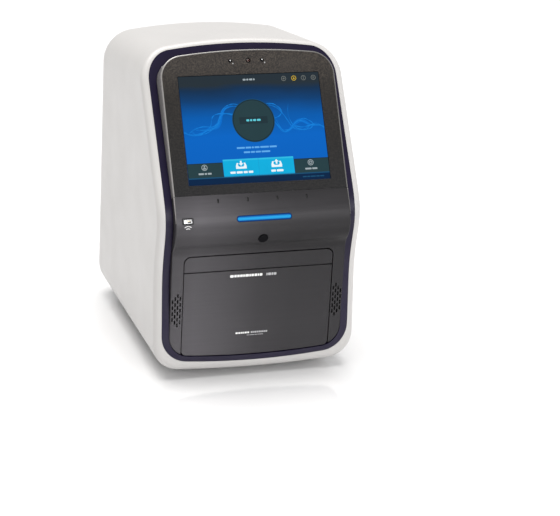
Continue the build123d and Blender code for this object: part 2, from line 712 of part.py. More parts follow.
with BuildPart() as block_frame:
    with BuildSketch(Plane.XY.offset(FRAME_FOOT)):
        with Locations((0, BLOCK_Y)):
            RectangleRounded(2 * FRAME_HALF_X, 2 * FRAME_HALF_Y, 12)
    extrude(amount=FRAME_TOP - 4 - FRAME_FOOT)
    with BuildSketch(Plane.XY.offset(FRAME_TOP - 4)):
        with Locations((0, BLOCK_Y)):
            RectangleRounded(2 * FRAME_HALF_X - 24, NEST_D + 22, 8)
        with Locations((0, BLOCK_Y)):
            with GridLocations(2 * FRAME_HALF_X - 26, 2 * FRAME_HALF_Y - 26, 2, 2):
                RectangleRounded(22, 22, 6)
    extrude(amount=4)
    chamfer(block_frame.faces().sort_by(Axis.Z)[-1].edges(), length=0.8)
    with BuildSketch(Plane.XY.offset(FRAME_FOOT)):
        with Locations((0, BLOCK_Y)):
            RectangleRounded(2 * FRAME_HALF_X - 14, 2 * FRAME_HALF_Y - 14, 8)
    extrude(amount=FRAME_TOP - 12 - FRAME_FOOT, mode=Mode.SUBTRACT)
    with BuildSketch(Plane.XY.offset(FRAME_FOOT)):
        with Locations((0, BLOCK_Y)):
            RectangleRounded(NEST_W, NEST_D, 3.2)
    extrude(amount=60, mode=Mode.SUBTRACT)
    with BuildSketch(Plane.XY.offset(TRAY_Z + TRAY_GAUGE)):
        with Locations((0, BLOCK_Y)):
            with GridLocations(2 * FRAME_HALF_X - 16, 2 * FRAME_HALF_Y - 16, 2, 2):
                RectangleRounded(14, 14, 3)
    extrude(amount=FRAME_TOP - 6 - TRAY_Z - TRAY_GAUGE)
    with BuildSketch(across(BLOCK_Y + FRAME_HALF_Y)):
        with Locations((0, SOCKET_Z)):
            Rectangle(66, 24)
    extrude(amount=12, mode=Mode.SUBTRACT)
    with BuildSketch(Plane.XY.offset(FRAME_TOP - 30)):
        with Locations(*block_screw_places()):
            Circle(1.6)
    extrude(amount=40, mode=Mode.SUBTRACT)
block_frame.part.label = "block_frame"
export_step(block_frame.part, "parts/block_frame.step")

with BuildPart() as sample_block:
    with BuildSketch(Plane.XY.offset(BLOCK_Z)):
        with Locations((0, BLOCK_Y)):
            Rectangle(126, 84)
    extrude(amount=5.4)
    with BuildSketch(Plane.XY.offset(BLOCK_Z + 5.4)):
        with Locations((0, BLOCK_Y)):
            RectangleRounded(110, 74, 3)
    extrude(amount=BLOCK_TOP - BLOCK_Z - 5.4)
    with Locations((0, BLOCK_Y, BLOCK_TOP)):
        with GridLocations(WELL_PITCH, WELL_PITCH, 12, 8):
            Cone(1.4, 3.1, 17, align=(Align.CENTER, Align.CENTER, Align.MAX), mode=Mode.SUBTRACT)
sample_block.part.label = "sample_block"
export_step(sample_block.part, "parts/sample_block.step")

with BuildPart() as thermal_modules:
    with BuildSketch(Plane.XY.offset(MODULE_Z)):
        with Locations((0, BLOCK_Y)):
            with GridLocations(42, 42, 3, 2):
                Rectangle(40, 40)
    extrude(amount=BLOCK_Z - MODULE_Z)
thermal_modules.part.label = "thermal_modules"
export_step(thermal_modules.part, "parts/thermal_modules.step")

with BuildPart() as block_heat_sink:
    with BuildSketch(Plane.XY.offset(HEAT_SINK_Z)):
        with Locations((0, BLOCK_Y)):
            Rectangle(134, 150)
    extrude(amount=MODULE_Z - HEAT_SINK_Z)
    with BuildSketch(Plane.XY.offset(HEAT_SINK_Z)):
        with Locations((0, BLOCK_Y)):
            with GridLocations(6, 1, 22, 1):
                Rectangle(1.6, 150)
    extrude(amount=TRAY_Z + 8 - HEAT_SINK_Z)
block_heat_sink.part.label = "block_heat_sink"
export_step(block_heat_sink.part, "parts/block_heat_sink.step")

with BuildPart() as block_screws:
    with BuildSketch(Plane.XY.offset(FRAME_TOP)):
        with Locations(*block_screw_places()):
            Circle(2.9)
    extrude(amount=1.8)
    with BuildSketch(Plane.XY.offset(FRAME_TOP)):
        with Locations(*block_screw_places()):
            RegularPolygon(1.4, 6)
    extrude(amount=2, mode=Mode.SUBTRACT)
    with BuildSketch(Plane.XY.offset(FRAME_TOP + 0.6)):
        with Locations(*block_screw_places()):
            Circle(1.5)
    extrude(amount=-8)
    with BuildSketch(Plane.XY.offset(FRAME_TOP - 4)):
        with Locations((0, BLOCK_Y - FRAME_HALF_Y + 22)):
            Circle(6)
            with PolarLocations(6, 24):
                Circle(0.5, mode=Mode.SUBTRACT)
    extrude(amount=8)
block_screws.part.label = "block_screws"
export_step(block_screws.part, "parts/block_screws.step")

with BuildPart() as block_connector:
    with BuildSketch(across(BLOCK_Y + FRAME_HALF_Y - 7)):
        with Locations((0, SOCKET_Z)):
            Rectangle(64, 22)
    extrude(amount=-19)
    with BuildSketch(across(BLOCK_Y + FRAME_HALF_Y + 2)):
        with Locations((0, SOCKET_Z)):
            RectangleRounded(54, 13, 3)
    extrude(amount=-20, mode=Mode.SUBTRACT)
block_connector.part.label = "block_connector"
export_step(block_connector.part, "parts/block_connector.step")

# ---------------------------------------------------------------- heated cover
with BuildPart() as heated_plate:
    with BuildSketch(Plane.XY.offset(COVER_Z)):
        with Locations((0, BLOCK_Y)):
            RectangleRounded(122, 84, 4)
            with GridLocations(WELL_PITCH, WELL_PITCH, 12, 8):
                Circle(2.4, mode=Mode.SUBTRACT)
    extrude(amount=PLATE_TOP - COVER_Z)
heated_plate.part.label = "heated_plate"
export_step(heated_plate.part, "parts/heated_plate.step")

with BuildPart() as cover_carrier:
    with BuildSketch(Plane.XY.offset(PLATE_TOP)):
        with Locations((0, BLOCK_Y)):
            RectangleRounded(180, 140, 8)
            RectangleRounded(108, 72, 3, mode=Mode.SUBTRACT)
            with GridLocations(2 * POST_X, 2 * POST_Y, 2, 2):
                Circle(POST_R + SLIDE_FIT, mode=Mode.SUBTRACT)
        with Locations((0, SCREW_Y - 16)):
            Rectangle(26, 60)
        with Locations((0, SCREW_Y)):
            Circle(POST_R + SLIDE_FIT, mode=Mode.SUBTRACT)
    extrude(amount=CARRIER_TOP - PLATE_TOP)
    with BuildSketch(Plane.XY.offset(CARRIER_TOP)):
        with Locations((0, SCREW_Y)):
            Circle(9)
            Circle(POST_R + SLIDE_FIT, mode=Mode.SUBTRACT)
    extrude(amount=8)
cover_carrier.part.label = "cover_carrier"
export_step(cover_carrier.part, "parts/cover_carrier.step")

with BuildPart() as cover_screw:
    with BuildSketch(Plane.XY.offset(PLATE_TOP - 6)):
        with Locations((0, SCREW_Y)):
            Circle(POST_R)
    extrude(amount=DECK_Z + 10 - PLATE_TOP + 6)
    chamfer(cover_screw.edges().group_by(Axis.Z)[0], length=0.8)
cover_screw.part.label = "cover_screw"
export_step(cover_screw.part, "parts/cover_screw.step")

with BuildPart() as cover_posts:
    with BuildSketch(Plane.XY.offset(PLATE_TOP - 4)):
        with Locations((0, BLOCK_Y)):
            with GridLocations(2 * POST_X, 2 * POST_Y, 2, 2):
                Circle(POST_R)
    extrude(amount=DECK_Z + 8 - PLATE_TOP + 4)
    chamfer(cover_posts.edges().group_by(Axis.Z)[0], length=0.6)
cover_posts.part.label = "cover_posts"
export_step(cover_posts.part, "parts/cover_posts.step")

with BuildPart() as drive_motors:
    with BuildSketch(Plane.YZ.offset(MOTOR_X)):
        with Locations((PINION_Y, PINION_Z)):
            Circle(13.5)
    extrude(amount=42)
    chamfer(drive_motors.faces().sort_by(Axis.X)[-1].edges(), length=1.5)
    with BuildSketch(Plane.YZ.offset(MOTOR_X)):
        with Locations((PINION_Y, PINION_Z)):
            Circle(3 + SLIDE_FIT)
    extrude(amount=14, mode=Mode.SUBTRACT)
    with BuildSketch(Plane.XY.offset(DECK_TOP)):
        with Locations((0, SCREW_Y)):
            RectangleRounded(42, 42, 3)
    extrude(amount=38)
    chamfer(drive_motors.faces().sort_by(Axis.Z)[-1].edges(), length=0.8)
    with BuildSketch(Plane.XY.offset(DECK_TOP - 1)):
        with Locations((0, SCREW_Y)):
            Circle(POST_R + SLIDE_FIT)
    extrude(amount=12, mode=Mode.SUBTRACT)
drive_motors.part.label = "drive_motors"
export_step(drive_motors.part, "parts/drive_motors.step")

# ---------------------------------------------------------------- optics
with BuildPart() as optics_housing:
    with BuildSketch(Plane.XY.offset(DECK_TOP)):
        with Locations((0, (HOUSING_FRONT + HOUSING_REAR) / 2)):
            RectangleRounded(2 * HOUSING_X, HOUSING_REAR - HOUSING_FRONT, 6)
    extrude(amount=HOUSING_TOP - DECK_TOP)
    chamfer(optics_housing.faces().sort_by(Axis.Z)[-1].edges(), length=2)
    with BuildSketch(Plane.XY.offset(DECK_TOP)):
        with Locations((0, (HOUSING_FRONT + HOUSING_REAR) / 2)):
            RectangleRounded(2 * HOUSING_X - 6, HOUSING_REAR - HOUSING_FRONT - 6, 4)
    extrude(amount=HOUSING_TOP - DECK_TOP - 3, mode=Mode.SUBTRACT)
    with BuildSketch(Plane.XY.offset(HOUSING_TOP)):
        with Locations((0, AXIS_Y)):
            Circle(BEAM_R)
    extrude(amount=8, both=True, mode=Mode.SUBTRACT)
    with BuildSketch(across(HOUSING_REAR)):
        with Locations((0, AXIS_Z)):
            Circle(BEAM_R)
    extrude(amount=8, both=True, mode=Mode.SUBTRACT)
optics_housing.part.label = "optics_housing"
export_step(optics_housing.part, "parts/optics_housing.step")

with BuildPart() as beam_splitter:
    with BuildSketch(Plane(origin=(0, AXIS_Y, AXIS_Z), x_dir=(1, 0, 0), z_dir=(0, -1, 1))):
        Rectangle(2 * HOUSING_X - 6, 110)
    extrude(amount=1, both=True)
beam_splitter.part.label = "beam_splitter"
export_step(beam_splitter.part, "parts/beam_splitter.step")


def filter_wheel(plane):
    """Six-hole wheel with a shaft, on the plane of its lower face; the normal points to the motor."""
    with BuildPart() as wheel:
        with BuildSketch(plane):
            Circle(WHEEL_R)
            with PolarLocations(WHEEL_X, 6):
                Circle(FILTER_R, mode=Mode.SUBTRACT)
        extrude(amount=3)
        with BuildSketch(plane):
            Circle(7)
        extrude(amount=4.4)
        with BuildSketch(plane):
            Circle(2.5)
        extrude(amount=16)
    return wheel.part


def wheel_filters(plane):
    with BuildPart() as filters:
        with BuildSketch(plane.offset(0.4)):
            with PolarLocations(WHEEL_X, 6):
                Circle(FILTER_R)
        extrude(amount=2.2)
    return filters.part


WHEELS = {
    "emission": Plane(origin=(WHEEL_X, AXIS_Y, BRIDGE_Z - 28), x_dir=(-1, 0, 0), z_dir=(0, 0, 1)),
    "excitation": Plane(origin=(WHEEL_X, HOUSING_REAR + 4, AXIS_Z), x_dir=(-1, 0, 0), z_dir=(0, 1, 0)),
}
for name, plane in WHEELS.items():
    wheel = filter_wheel(plane)
    wheel.label = f"{name}_wheel"
    export_step(wheel, f"parts/{name}_wheel.step")
    filters = wheel_filters(plane)
    filters.label = f"{name}_filters"
    export_step(filters, f"parts/{name}_filters.step")

with BuildPart() as wheel_motors:
    for plane in WHEELS.values():
        with BuildSketch(plane.offset(5)):
            Circle(14)
        extrude(amount=23)
        with BuildSketch(plane.offset(5)):
            Circle(2.5 + SLIDE_FIT)
        extrude(amount=12, mode=Mode.SUBTRACT)
wheel_motors.part.label = "wheel_motors"
export_step(wheel_motors.part, "parts/wheel_motors.step")

with BuildPart() as brackets:
    with BuildSketch(across(BRACKET_Y)):
        with Locations((2, (DECK_TOP + 362) / 2)):
            Rectangle(124, 362 - DECK_TOP)
        with Locations((0, AXIS_Z)):
            Circle(16.2, mode=Mode.SUBTRACT)
        with Locations((0, DECK_TOP + 20)):
            Rectangle(46, 41, mode=Mode.SUBTRACT)
    extrude(amount=-3)
    with BuildSketch(Plane.YZ.offset(MOTOR_X - 2)):
        with Locations((PINION_Y + 3, (BASE_TOP + 56) / 2)):
            Rectangle(24, 56 - BASE_TOP)
        with Locations((PINION_Y, PINION_Z)):
            Circle(4.2, mode=Mode.SUBTRACT)
    extrude(amount=2)
    with BuildSketch(Plane.XY.offset(BASE_TOP)):
        with Locations((82, PINION_Y + 5)):
            Rectangle(32, 20)
    extrude(amount=2)
    with BuildSketch(Plane.XY.offset(BRIDGE_Z)):
        with Locations((0, -41)):
            Rectangle(2 * PLATE_X, 70)
        with Locations((0, AXIS_Y)):
            Circle(17.7, mode=Mode.SUBTRACT)
    extrude(amount=3)
brackets.part.label = "brackets"
export_step(brackets.part, "parts/brackets.step")

with BuildPart() as led_lens:
    with BuildSketch(across(HOUSING_REAR + 11)):
        with Locations((0, AXIS_Z)):
            Circle(BEAM_R)
            Circle(BEAM_R - 3, mode=Mode.SUBTRACT)
    extrude(amount=-24)
    with BuildSketch(across(HOUSING_REAR + 16)):
        with Locations((0, AXIS_Z)):
            Circle(BEAM_R - 3)
    extrude(amount=-5)
led_lens.part.label = "led_lens"
export_step(led_lens.part, "parts/led_lens.step")

with BuildPart() as led_heat_sink:
    with BuildSketch(across(BRACKET_Y + 3)):
        with Locations((0, AXIS_Z + 1)):
            Rectangle(68, 66)
    extrude(amount=-6)
    with BuildSketch(across(BRACKET_Y + 9)):
        with Locations((0, AXIS_Z + 1)):
            with GridLocations(6, 1, 12, 1):
                Rectangle(1.6, 66)
    extrude(amount=-30)
led_heat_sink.part.label = "led_heat_sink"
export_step(led_heat_sink.part, "parts/led_heat_sink.step")

with BuildPart() as read_camera:
    with BuildSketch(Plane.XY.offset(BRIDGE_Z - 18)):
        with Locations((0, AXIS_Y)):
            Circle(17.5)
    extrude(amount=40)
    with BuildSketch(Plane.XY.offset(BRIDGE_Z + 3)):
        with Locations((0, AXIS_Y)):
            Circle(21)
    extrude(amount=5)
    with BuildSketch(Plane.XY.offset(BRIDGE_Z - 18)):
        with Locations((0, AXIS_Y)):
            Circle(14)
    extrude(amount=5, taper=15, mode=Mode.SUBTRACT)
    with BuildSketch(Plane.XY.offset(BRIDGE_Z + 22)):
        with Locations((0, AXIS_Y)):
            RectangleRounded(46, 46, 3)
    extrude(amount=26)
    chamfer(read_camera.faces().sort_by(Axis.Z)[-1].edges(), length=1)
read_camera.part.label = "read_camera"
export_step(read_camera.part, "parts/read_camera.step")

# ---------------------------------------------------------------- chassis
with BuildPart() as base_plate:
    with BuildSketch(Plane.XY.offset(BASE_Z)):
        with Locations((0, -6)):
            RectangleRounded(2 * PLATE_X + 6, 378, 6)
        with Locations((0, 12)):
            with GridLocations(14, 90, 9, 2):
                SlotOverall(60, 6, rotation=90, mode=Mode.SUBTRACT)
        with Locations(*FEET):
            Circle(2.2, mode=Mode.SUBTRACT)
    extrude(amount=BASE_THICK)
base_plate.part.label = "base_plate"
export_step(base_plate.part, "parts/base_plate.step")

with BuildPart() as feet:
    with BuildSketch(Plane.XY.offset(BASE_Z)):
        with Locations(*FEET):
            Circle(FOOT_R)
    extrude(amount=-BASE_Z, taper=3)
    with BuildSketch(Plane.XY):
        with Locations(*FEET):
            Circle(5.5)
    extrude(amount=8, mode=Mode.SUBTRACT)
    with BuildSketch(Plane.XY):
        with Locations(*FEET):
            Circle(2.2)
    extrude(amount=30, mode=Mode.SUBTRACT)
feet.part.label = "feet"
export_step(feet.part, "parts/feet.step")

with BuildPart() as side_plates:
    for side in (-1, 1):
        with BuildSketch(Plane.YZ.offset(side * PLATE_X)):
            with BuildLine():
                Polyline((-170, BASE_TOP), (180, BASE_TOP), (180, 455), (-60, 455),
                         (-150, 260), (-170, 225), close=True)
            make_face()
            with Locations((25, 150)):
                RectangleRounded(250, 56, 8, mode=Mode.SUBTRACT)
            with Locations((-20, 330), (90, 330)):
                RectangleRounded(80, 120, 8, mode=Mode.SUBTRACT)
        extrude(amount=side * PLATE_THICK)
        with BuildSketch(Plane.XY.offset(BASE_TOP)):
            with Locations((side * (PLATE_X - 6), 5)):
                Rectangle(14, 350)
        extrude(amount=PLATE_THICK)
side_plates.part.label = "side_plates"
export_step(side_plates.part, "parts/side_plates.step")

with BuildPart() as deck:
    with BuildSketch(Plane.XY.offset(DECK_Z)):
        with Locations((0, 20)):
            Rectangle(2 * PLATE_X, 320)
        with Locations((0, BLOCK_Y)):
            RectangleRounded(116, 86, 4, mode=Mode.SUBTRACT)
            with GridLocations(2 * POST_X, 2 * POST_Y, 2, 2):
                Circle(POST_R, mode=Mode.SUBTRACT)
        with Locations((0, SCREW_Y)):
            Circle(6, mode=Mode.SUBTRACT)
    extrude(amount=DECK_THICK)
deck.part.label = "deck"
export_step(deck.part, "parts/deck.step")

with BuildPart() as power_supply:
    with BuildSketch(Plane.XY.offset(DECK_TOP)):
        with Locations((-86, 142)):
            Rectangle(84, 76)
    extrude(amount=82)
    with BuildSketch(across(104)):
        with Locations((-86, DECK_TOP + 45)):
            with GridLocations(7, 30, 10, 2):
                SlotOverall(22, 3, rotation=90)
    extrude(amount=-2, mode=Mode.SUBTRACT)
power_supply.part.label = "power_supply"
export_step(power_supply.part, "parts/power_supply.step")

with BuildPart() as main_board:
    with BuildSketch(Plane.YZ.offset(BOARD_X)):
        with Locations((90, 345)):
            Rectangle(150, 170)
    extrude(amount=1.6)
    with BuildSketch(Plane.YZ.offset(BOARD_X + 1.6)):
        with Locations((90, 345)):
            with GridLocations(136, 156, 2, 2):
                Circle(3)
    extrude(amount=PLATE_X - BOARD_X - 1.6)
    with BuildSketch(Plane.YZ.offset(BOARD_X)):
        with Locations((60, 380), (110, 300)):
            Rectangle(26, 26)
        with Locations((120, 390), (40, 310), (80, 340)):
            Rectangle(18, 10)
    extrude(amount=-2.4)
    with BuildSketch(Plane.YZ.offset(BOARD_X)):
        with Locations((150, 330)):
            Rectangle(9, 110)
        with Locations((80, 418)):
            Rectangle(90, 9)
    extrude(amount=-10)
main_board.part.label = "main_board"
export_step(main_board.part, "parts/main_board.step")

with BuildPart() as exhaust_duct:
    with BuildSketch(across(84)):
        with Locations((0, FAN_Z)):
            RectangleRounded(208, 100, 3)
            RectangleRounded(205, 97, 2, mode=Mode.SUBTRACT)
    extrude(amount=84 - FAN_FRONT)
exhaust_duct.part.label = "exhaust_duct"
export_step(exhaust_duct.part, "parts/exhaust_duct.step")

# ---------------------------------------------------------------- back
with BuildPart() as rear_panel:
    with BuildSketch(across(PANEL_Y)):
        with Locations((0, PANEL_MID_Z)):
            RectangleRounded(PANEL_W, PANEL_H, 6)
        with Locations((-FAN_X, FAN_Z), (FAN_X, FAN_Z)):
            Circle(FAN_BORE, mode=Mode.SUBTRACT)
        with Locations((INLET_X, PORT_Z)):
            RectangleRounded(*INLET_HOLE, 2, mode=Mode.SUBTRACT)
        with Locations((SWITCH_X, PORT_Z)):
            Rectangle(*SWITCH_HOLE, mode=Mode.SUBTRACT)
        with Locations((PORT_PLATE_X, PORT_Z)):
            Rectangle(*PORT_CUT_OUT, mode=Mode.SUBTRACT)
        with Locations((0, LOUVRE_Z)):
            with GridLocations(34, 13, 6, 16):
                SlotOverall(*LOUVRE, mode=Mode.SUBTRACT)
        with Locations(*[(side * PANEL_SCREW_X, z) for side in (-1, 1) for z in PANEL_SCREW_Z]):
            Circle(2.1, mode=Mode.SUBTRACT)
    extrude(amount=PANEL_Y - PANEL_OUT)
rear_panel.part.label = "rear_panel"
export_step(rear_panel.part, "parts/rear_panel.step")

with BuildPart() as port_plate:
    with BuildSketch(across(PANEL_OUT)):
        with Locations((PORT_PLATE_X, PORT_Z)):
            RectangleRounded(*PORT_PLATE, 2)
        with Locations((NETWORK_X, PORT_Z)):
            Rectangle(*NETWORK_HOLE, mode=Mode.SUBTRACT)
        with Locations((USB_REAR_X, PORT_Z)):
            Rectangle(*USB_HOLE, mode=Mode.SUBTRACT)
    extrude(amount=-PORT_PLATE_THICK)
port_plate.part.label = "port_plate"
export_step(port_plate.part, "parts/port_plate.step")

with BuildPart() as case_screws:
    with Locations(*BACK_SCREWS):
        Cylinder(1.9, 8, align=(Align.CENTER, Align.CENTER, Align.MAX))
        with Locations((0, 0, -0.2)):
            Cone(1.9, 3.4, 1.5, align=(Align.CENTER, Align.CENTER, Align.MAX))
    with BuildSketch(Plane.XY.offset(8)):
        with Locations(*FEET):
            Circle(4.4)
    extrude(amount=-3)
    with BuildSketch(Plane.XY.offset(8)):
        with Locations(*FEET):
            Circle(2)
    extrude(amount=BASE_TOP - 6.5)
case_screws.part.label = "case_screws"
export_step(case_screws.part, "parts/case_screws.step")

with BuildPart() as fan_frames:
    for side in (-1, 1):
        with BuildSketch(across(FAN_FRONT)):
            with Locations((side * FAN_X, FAN_Z)):
                RectangleRounded(FAN_SIZE, FAN_SIZE, 5)
                Circle(FAN_BORE, mode=Mode.SUBTRACT)
        extrude(amount=-FAN_DEPTH)
        with BuildSketch(across(PANEL_Y - 4)):
            with Locations((side * FAN_X, FAN_Z)):
                Circle(18)
                with PolarLocations(30, 4, start_angle=45):
                    Rectangle(30, 4)
        extrude(amount=-4)
        with BuildSketch(across(PANEL_Y - 5)):
            with Locations((side * FAN_X, FAN_Z)):
                Circle(2 + SLIDE_FIT)
        extrude(amount=-4, mode=Mode.SUBTRACT)
fan_frames.part.label = "fan_frames"
export_step(fan_frames.part, "parts/fan_frames.step")

for name, side in (("left", -1), ("right", 1)):
    centre = Plane(origin=(side * FAN_X, FAN_FRONT + 11, FAN_Z), x_dir=(1, 0, 0), z_dir=(0, 1, 0))
    with BuildPart(centre) as fan_rotor:
        Cylinder(17, 18)
        fillet(fan_rotor.edges().group_by(Axis.Y)[0], radius=2)
        with PolarLocations(28, 7):
            Box(26, 1.5, 19, rotation=(38, 0, 0))
        with Locations((0, 0, 9)):
            Cylinder(2, 3, align=(Align.CENTER, Align.CENTER, Align.MIN))
    fan_rotor.part.label = f"fan_rotor_{name}"
    export_step(fan_rotor.part, f"parts/fan_rotor_{name}.step")

with BuildPart() as fan_guards:
    with BuildSketch(across(PANEL_OUT)):
        for side in (-1, 1):
            with Locations((side * FAN_X, FAN_Z)):
                for radius in GUARD_RADII:
                    Circle(radius + 0.8)
                    Circle(radius - 0.8, mode=Mode.SUBTRACT)
                with PolarLocations(28, 4, start_angle=45):
                    Rectangle(42, 1.8)
    extrude(amount=-1.8)
fan_guards.part.label = "fan_guards"
export_step(fan_guards.part, "parts/fan_guards.step")

with BuildPart() as mains_module:
    with BuildSketch(across(PANEL_OUT)):
        with Locations((INLET_X, PORT_Z)):
            RectangleRounded(*INLET_FLANGE, 3)
    extrude(amount=-2.4)
    with BuildSketch(across(PANEL_OUT)):
        with Locations((INLET_X, PORT_Z)):
            RectangleRounded(*INLET_BODY, 2)
    extrude(amount=20)
    with BuildSketch(across(PANEL_OUT - 17)):
        with Locations((INLET_X, PORT_Z)):
            RectangleRounded(24.4, 16.6, 3)
    extrude(amount=-24, mode=Mode.SUBTRACT)
    with BuildSketch(across(PANEL_OUT)):
        with Locations((SWITCH_X, PORT_Z)):
            RectangleRounded(*SWITCH_FLANGE, 1.5)
    extrude(amount=-2)
    with BuildSketch(across(PANEL_OUT)):
        with Locations((SWITCH_X, PORT_Z)):
            Rectangle(*SWITCH_BODY)
    extrude(amount=18)
    with BuildSketch(across(PANEL_OUT - 15)):
        with Locations((SWITCH_X, PORT_Z)):
            Rectangle(11.6, 17.6)
    extrude(amount=-24, mode=Mode.SUBTRACT)
    with BuildSketch(Plane.YZ.offset(SWITCH_X - 6.6)):
        with Locations((ROCKER_Y, PORT_Z)):
            Circle(ROCKER_PIN + SLIDE_FIT)
    extrude(amount=13.2, mode=Mode.SUBTRACT)
mains_module.part.label = "mains_module"
export_step(mains_module.part, "parts/mains_module.step")

with BuildPart() as inlet_pins:
    with BuildSketch(across(PANEL_OUT - 17)):
        with Locations((INLET_X, PORT_Z + 4), (INLET_X - 7, PORT_Z - 2), (INLET_X + 7, PORT_Z - 2)):
            Rectangle(2, 4)
    extrude(amount=-15)
inlet_pins.part.label = "inlet_pins"
export_step(inlet_pins.part, "parts/inlet_pins.step")

ROCKER_PLANE = Plane(origin=(SWITCH_X, ROCKER_Y, PORT_Z), z_dir=(1, 0, 0),
                     x_dir=(0, cos(radians(ROCKER_TILT)), sin(radians(ROCKER_TILT))))

with BuildPart() as power_rocker:
    with BuildSketch(ROCKER_PLANE):
        with BuildLine():
            Polyline((8.1, 7.6), (-3, 4), (-3, -4), (8.1, -7.6))
            ThreePointArc((8.1, -7.6), (6.2, 0), (8.1, 7.6))
        make_face()
    extrude(amount=5.5, both=True)
    with BuildSketch(ROCKER_PLANE):
        Circle(ROCKER_PIN)
    extrude(amount=6.5, both=True)
power_rocker.part.label = "power_rocker"
export_step(power_rocker.part, "parts/power_rocker.step")

with BuildPart() as data_ports:
    with BuildSketch(across(PORT_PLATE_OUT + 0.4)):
        with Locations((NETWORK_X, PORT_Z)):
            Rectangle(*NETWORK_BODY)
    extrude(amount=19)
    with BuildSketch(across(PORT_PLATE_OUT + 1)):
        with Locations((NETWORK_X, PORT_Z - 0.8)):
            Rectangle(11.7, 8)
    extrude(amount=14, mode=Mode.SUBTRACT)
    with BuildSketch(across(PORT_PLATE_OUT + 0.4)):
        with Locations((USB_REAR_X, PORT_Z)):
            Rectangle(*USB_BODY)
    extrude(amount=17)
    with BuildSketch(across(PORT_PLATE_OUT + 1)):
        with Locations((USB_REAR_X, PORT_Z + 3.9), (USB_REAR_X, PORT_Z - 3.9)):
            Rectangle(*USB_SOCKET)
        with Locations((USB_REAR_X, PORT_Z + 4.9), (USB_REAR_X, PORT_Z - 2.9)):
            Rectangle(11.1, 1.8, mode=Mode.SUBTRACT)
    extrude(amount=12, mode=Mode.SUBTRACT)
    with BuildSketch(USB_PLANE.offset(-16)):
        Rectangle(13.2, 5.8)
    extrude(amount=16.2)
    with BuildSketch(USB_PLANE.offset(-14.6)):
        Rectangle(*USB_SOCKET)
    extrude(amount=20, mode=Mode.SUBTRACT)
data_ports.part.label = "data_ports"
export_step(data_ports.part, "parts/data_ports.step")
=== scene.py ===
import json
from math import cos, pi, radians, sin, sqrt

import bmesh
import bpy
from mathutils import Matrix, Vector


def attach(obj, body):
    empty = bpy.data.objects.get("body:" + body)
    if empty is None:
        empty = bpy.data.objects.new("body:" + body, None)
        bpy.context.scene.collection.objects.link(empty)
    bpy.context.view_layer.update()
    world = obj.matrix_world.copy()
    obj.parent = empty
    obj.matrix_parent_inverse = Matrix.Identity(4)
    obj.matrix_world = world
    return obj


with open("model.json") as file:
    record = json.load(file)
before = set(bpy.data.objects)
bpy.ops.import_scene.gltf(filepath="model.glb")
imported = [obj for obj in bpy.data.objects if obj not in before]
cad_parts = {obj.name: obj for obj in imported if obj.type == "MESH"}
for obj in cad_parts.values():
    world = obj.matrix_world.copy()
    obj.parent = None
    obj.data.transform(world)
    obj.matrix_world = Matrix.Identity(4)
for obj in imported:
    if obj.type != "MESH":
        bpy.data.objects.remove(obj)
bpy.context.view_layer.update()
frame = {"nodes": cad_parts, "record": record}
MM = 0.001

# ---------------------------------------------------------------- driving dimensions, in millimetres
NOSE_Y = -229.0                  # foremost line of the fascia
NOSE_Z = 269.33
NOSE_RADIUS = 60.0               # above that line
BROW_RADIUS = 46.3               # below it
SEAM_Y = -205.82                 # seam between the fascia and the screen panel
SEAM_Z = 325.0
LEAN = radians(30.54)            # screen's lean away from upright
UP_SLOPE = (0, sin(LEAN), cos(LEAN))
OFF_SLOPE = (0, -cos(LEAN), sin(LEAN))
FASCIA_HALF = 151.5
PICTURE_W = 245.8                # lit area of a 12.1 inch display
PICTURE_H = 184.3
PICTURE_FOOT = 17.4              # up the slope from the seam
BAR_Z = 288.0                    # status light
BAR_LENGTH = 91.8
BAR_HEIGHT = 6.4
USB_X = -131.0                   # front socket
USB_Z = 288.6
SYMBOL_Z = 272.6                 # middle of the arcs under it
SENSOR_S = 225.2                 # camera and sensors, up the slope from the seam
CAMERA_X = 1.8
SENSOR_X = (-29.4, 26.0)
MICROPHONE_X = (-76.7, -25.6, 25.6, 76.7)
MICROPHONE_S = -10.4             # below the seam
BLOCK_Y = -45.0                  # sample block
BLOCK_TOP = 176.0
FRAME_TOP = 182.0
WELL_PITCH = 9.0
PANEL_OUT = 225.7                # outer face of the rear panel
PORT_Z = 80.0                    # sockets in it
PORT_FACE = 1.2                  # sockets' faces stand this far out from the panel
FAN_X = 56.0                     # fans, to either side
FAN_Z = 150.0
HUB_FACE_Y = 223.72              # just clear of the hub of a fan's frame
DRAWER_Y = -211.0                # face of the drawer's front

# The seam's distance from the origin up the slope and out from it, in metres.
SCREEN_FOOT = (SEAM_Y * sin(LEAN) + SEAM_Z * cos(LEAN)) * MM
SCREEN_FRONT = (-SEAM_Y * cos(LEAN) + SEAM_Z * sin(LEAN)) * MM


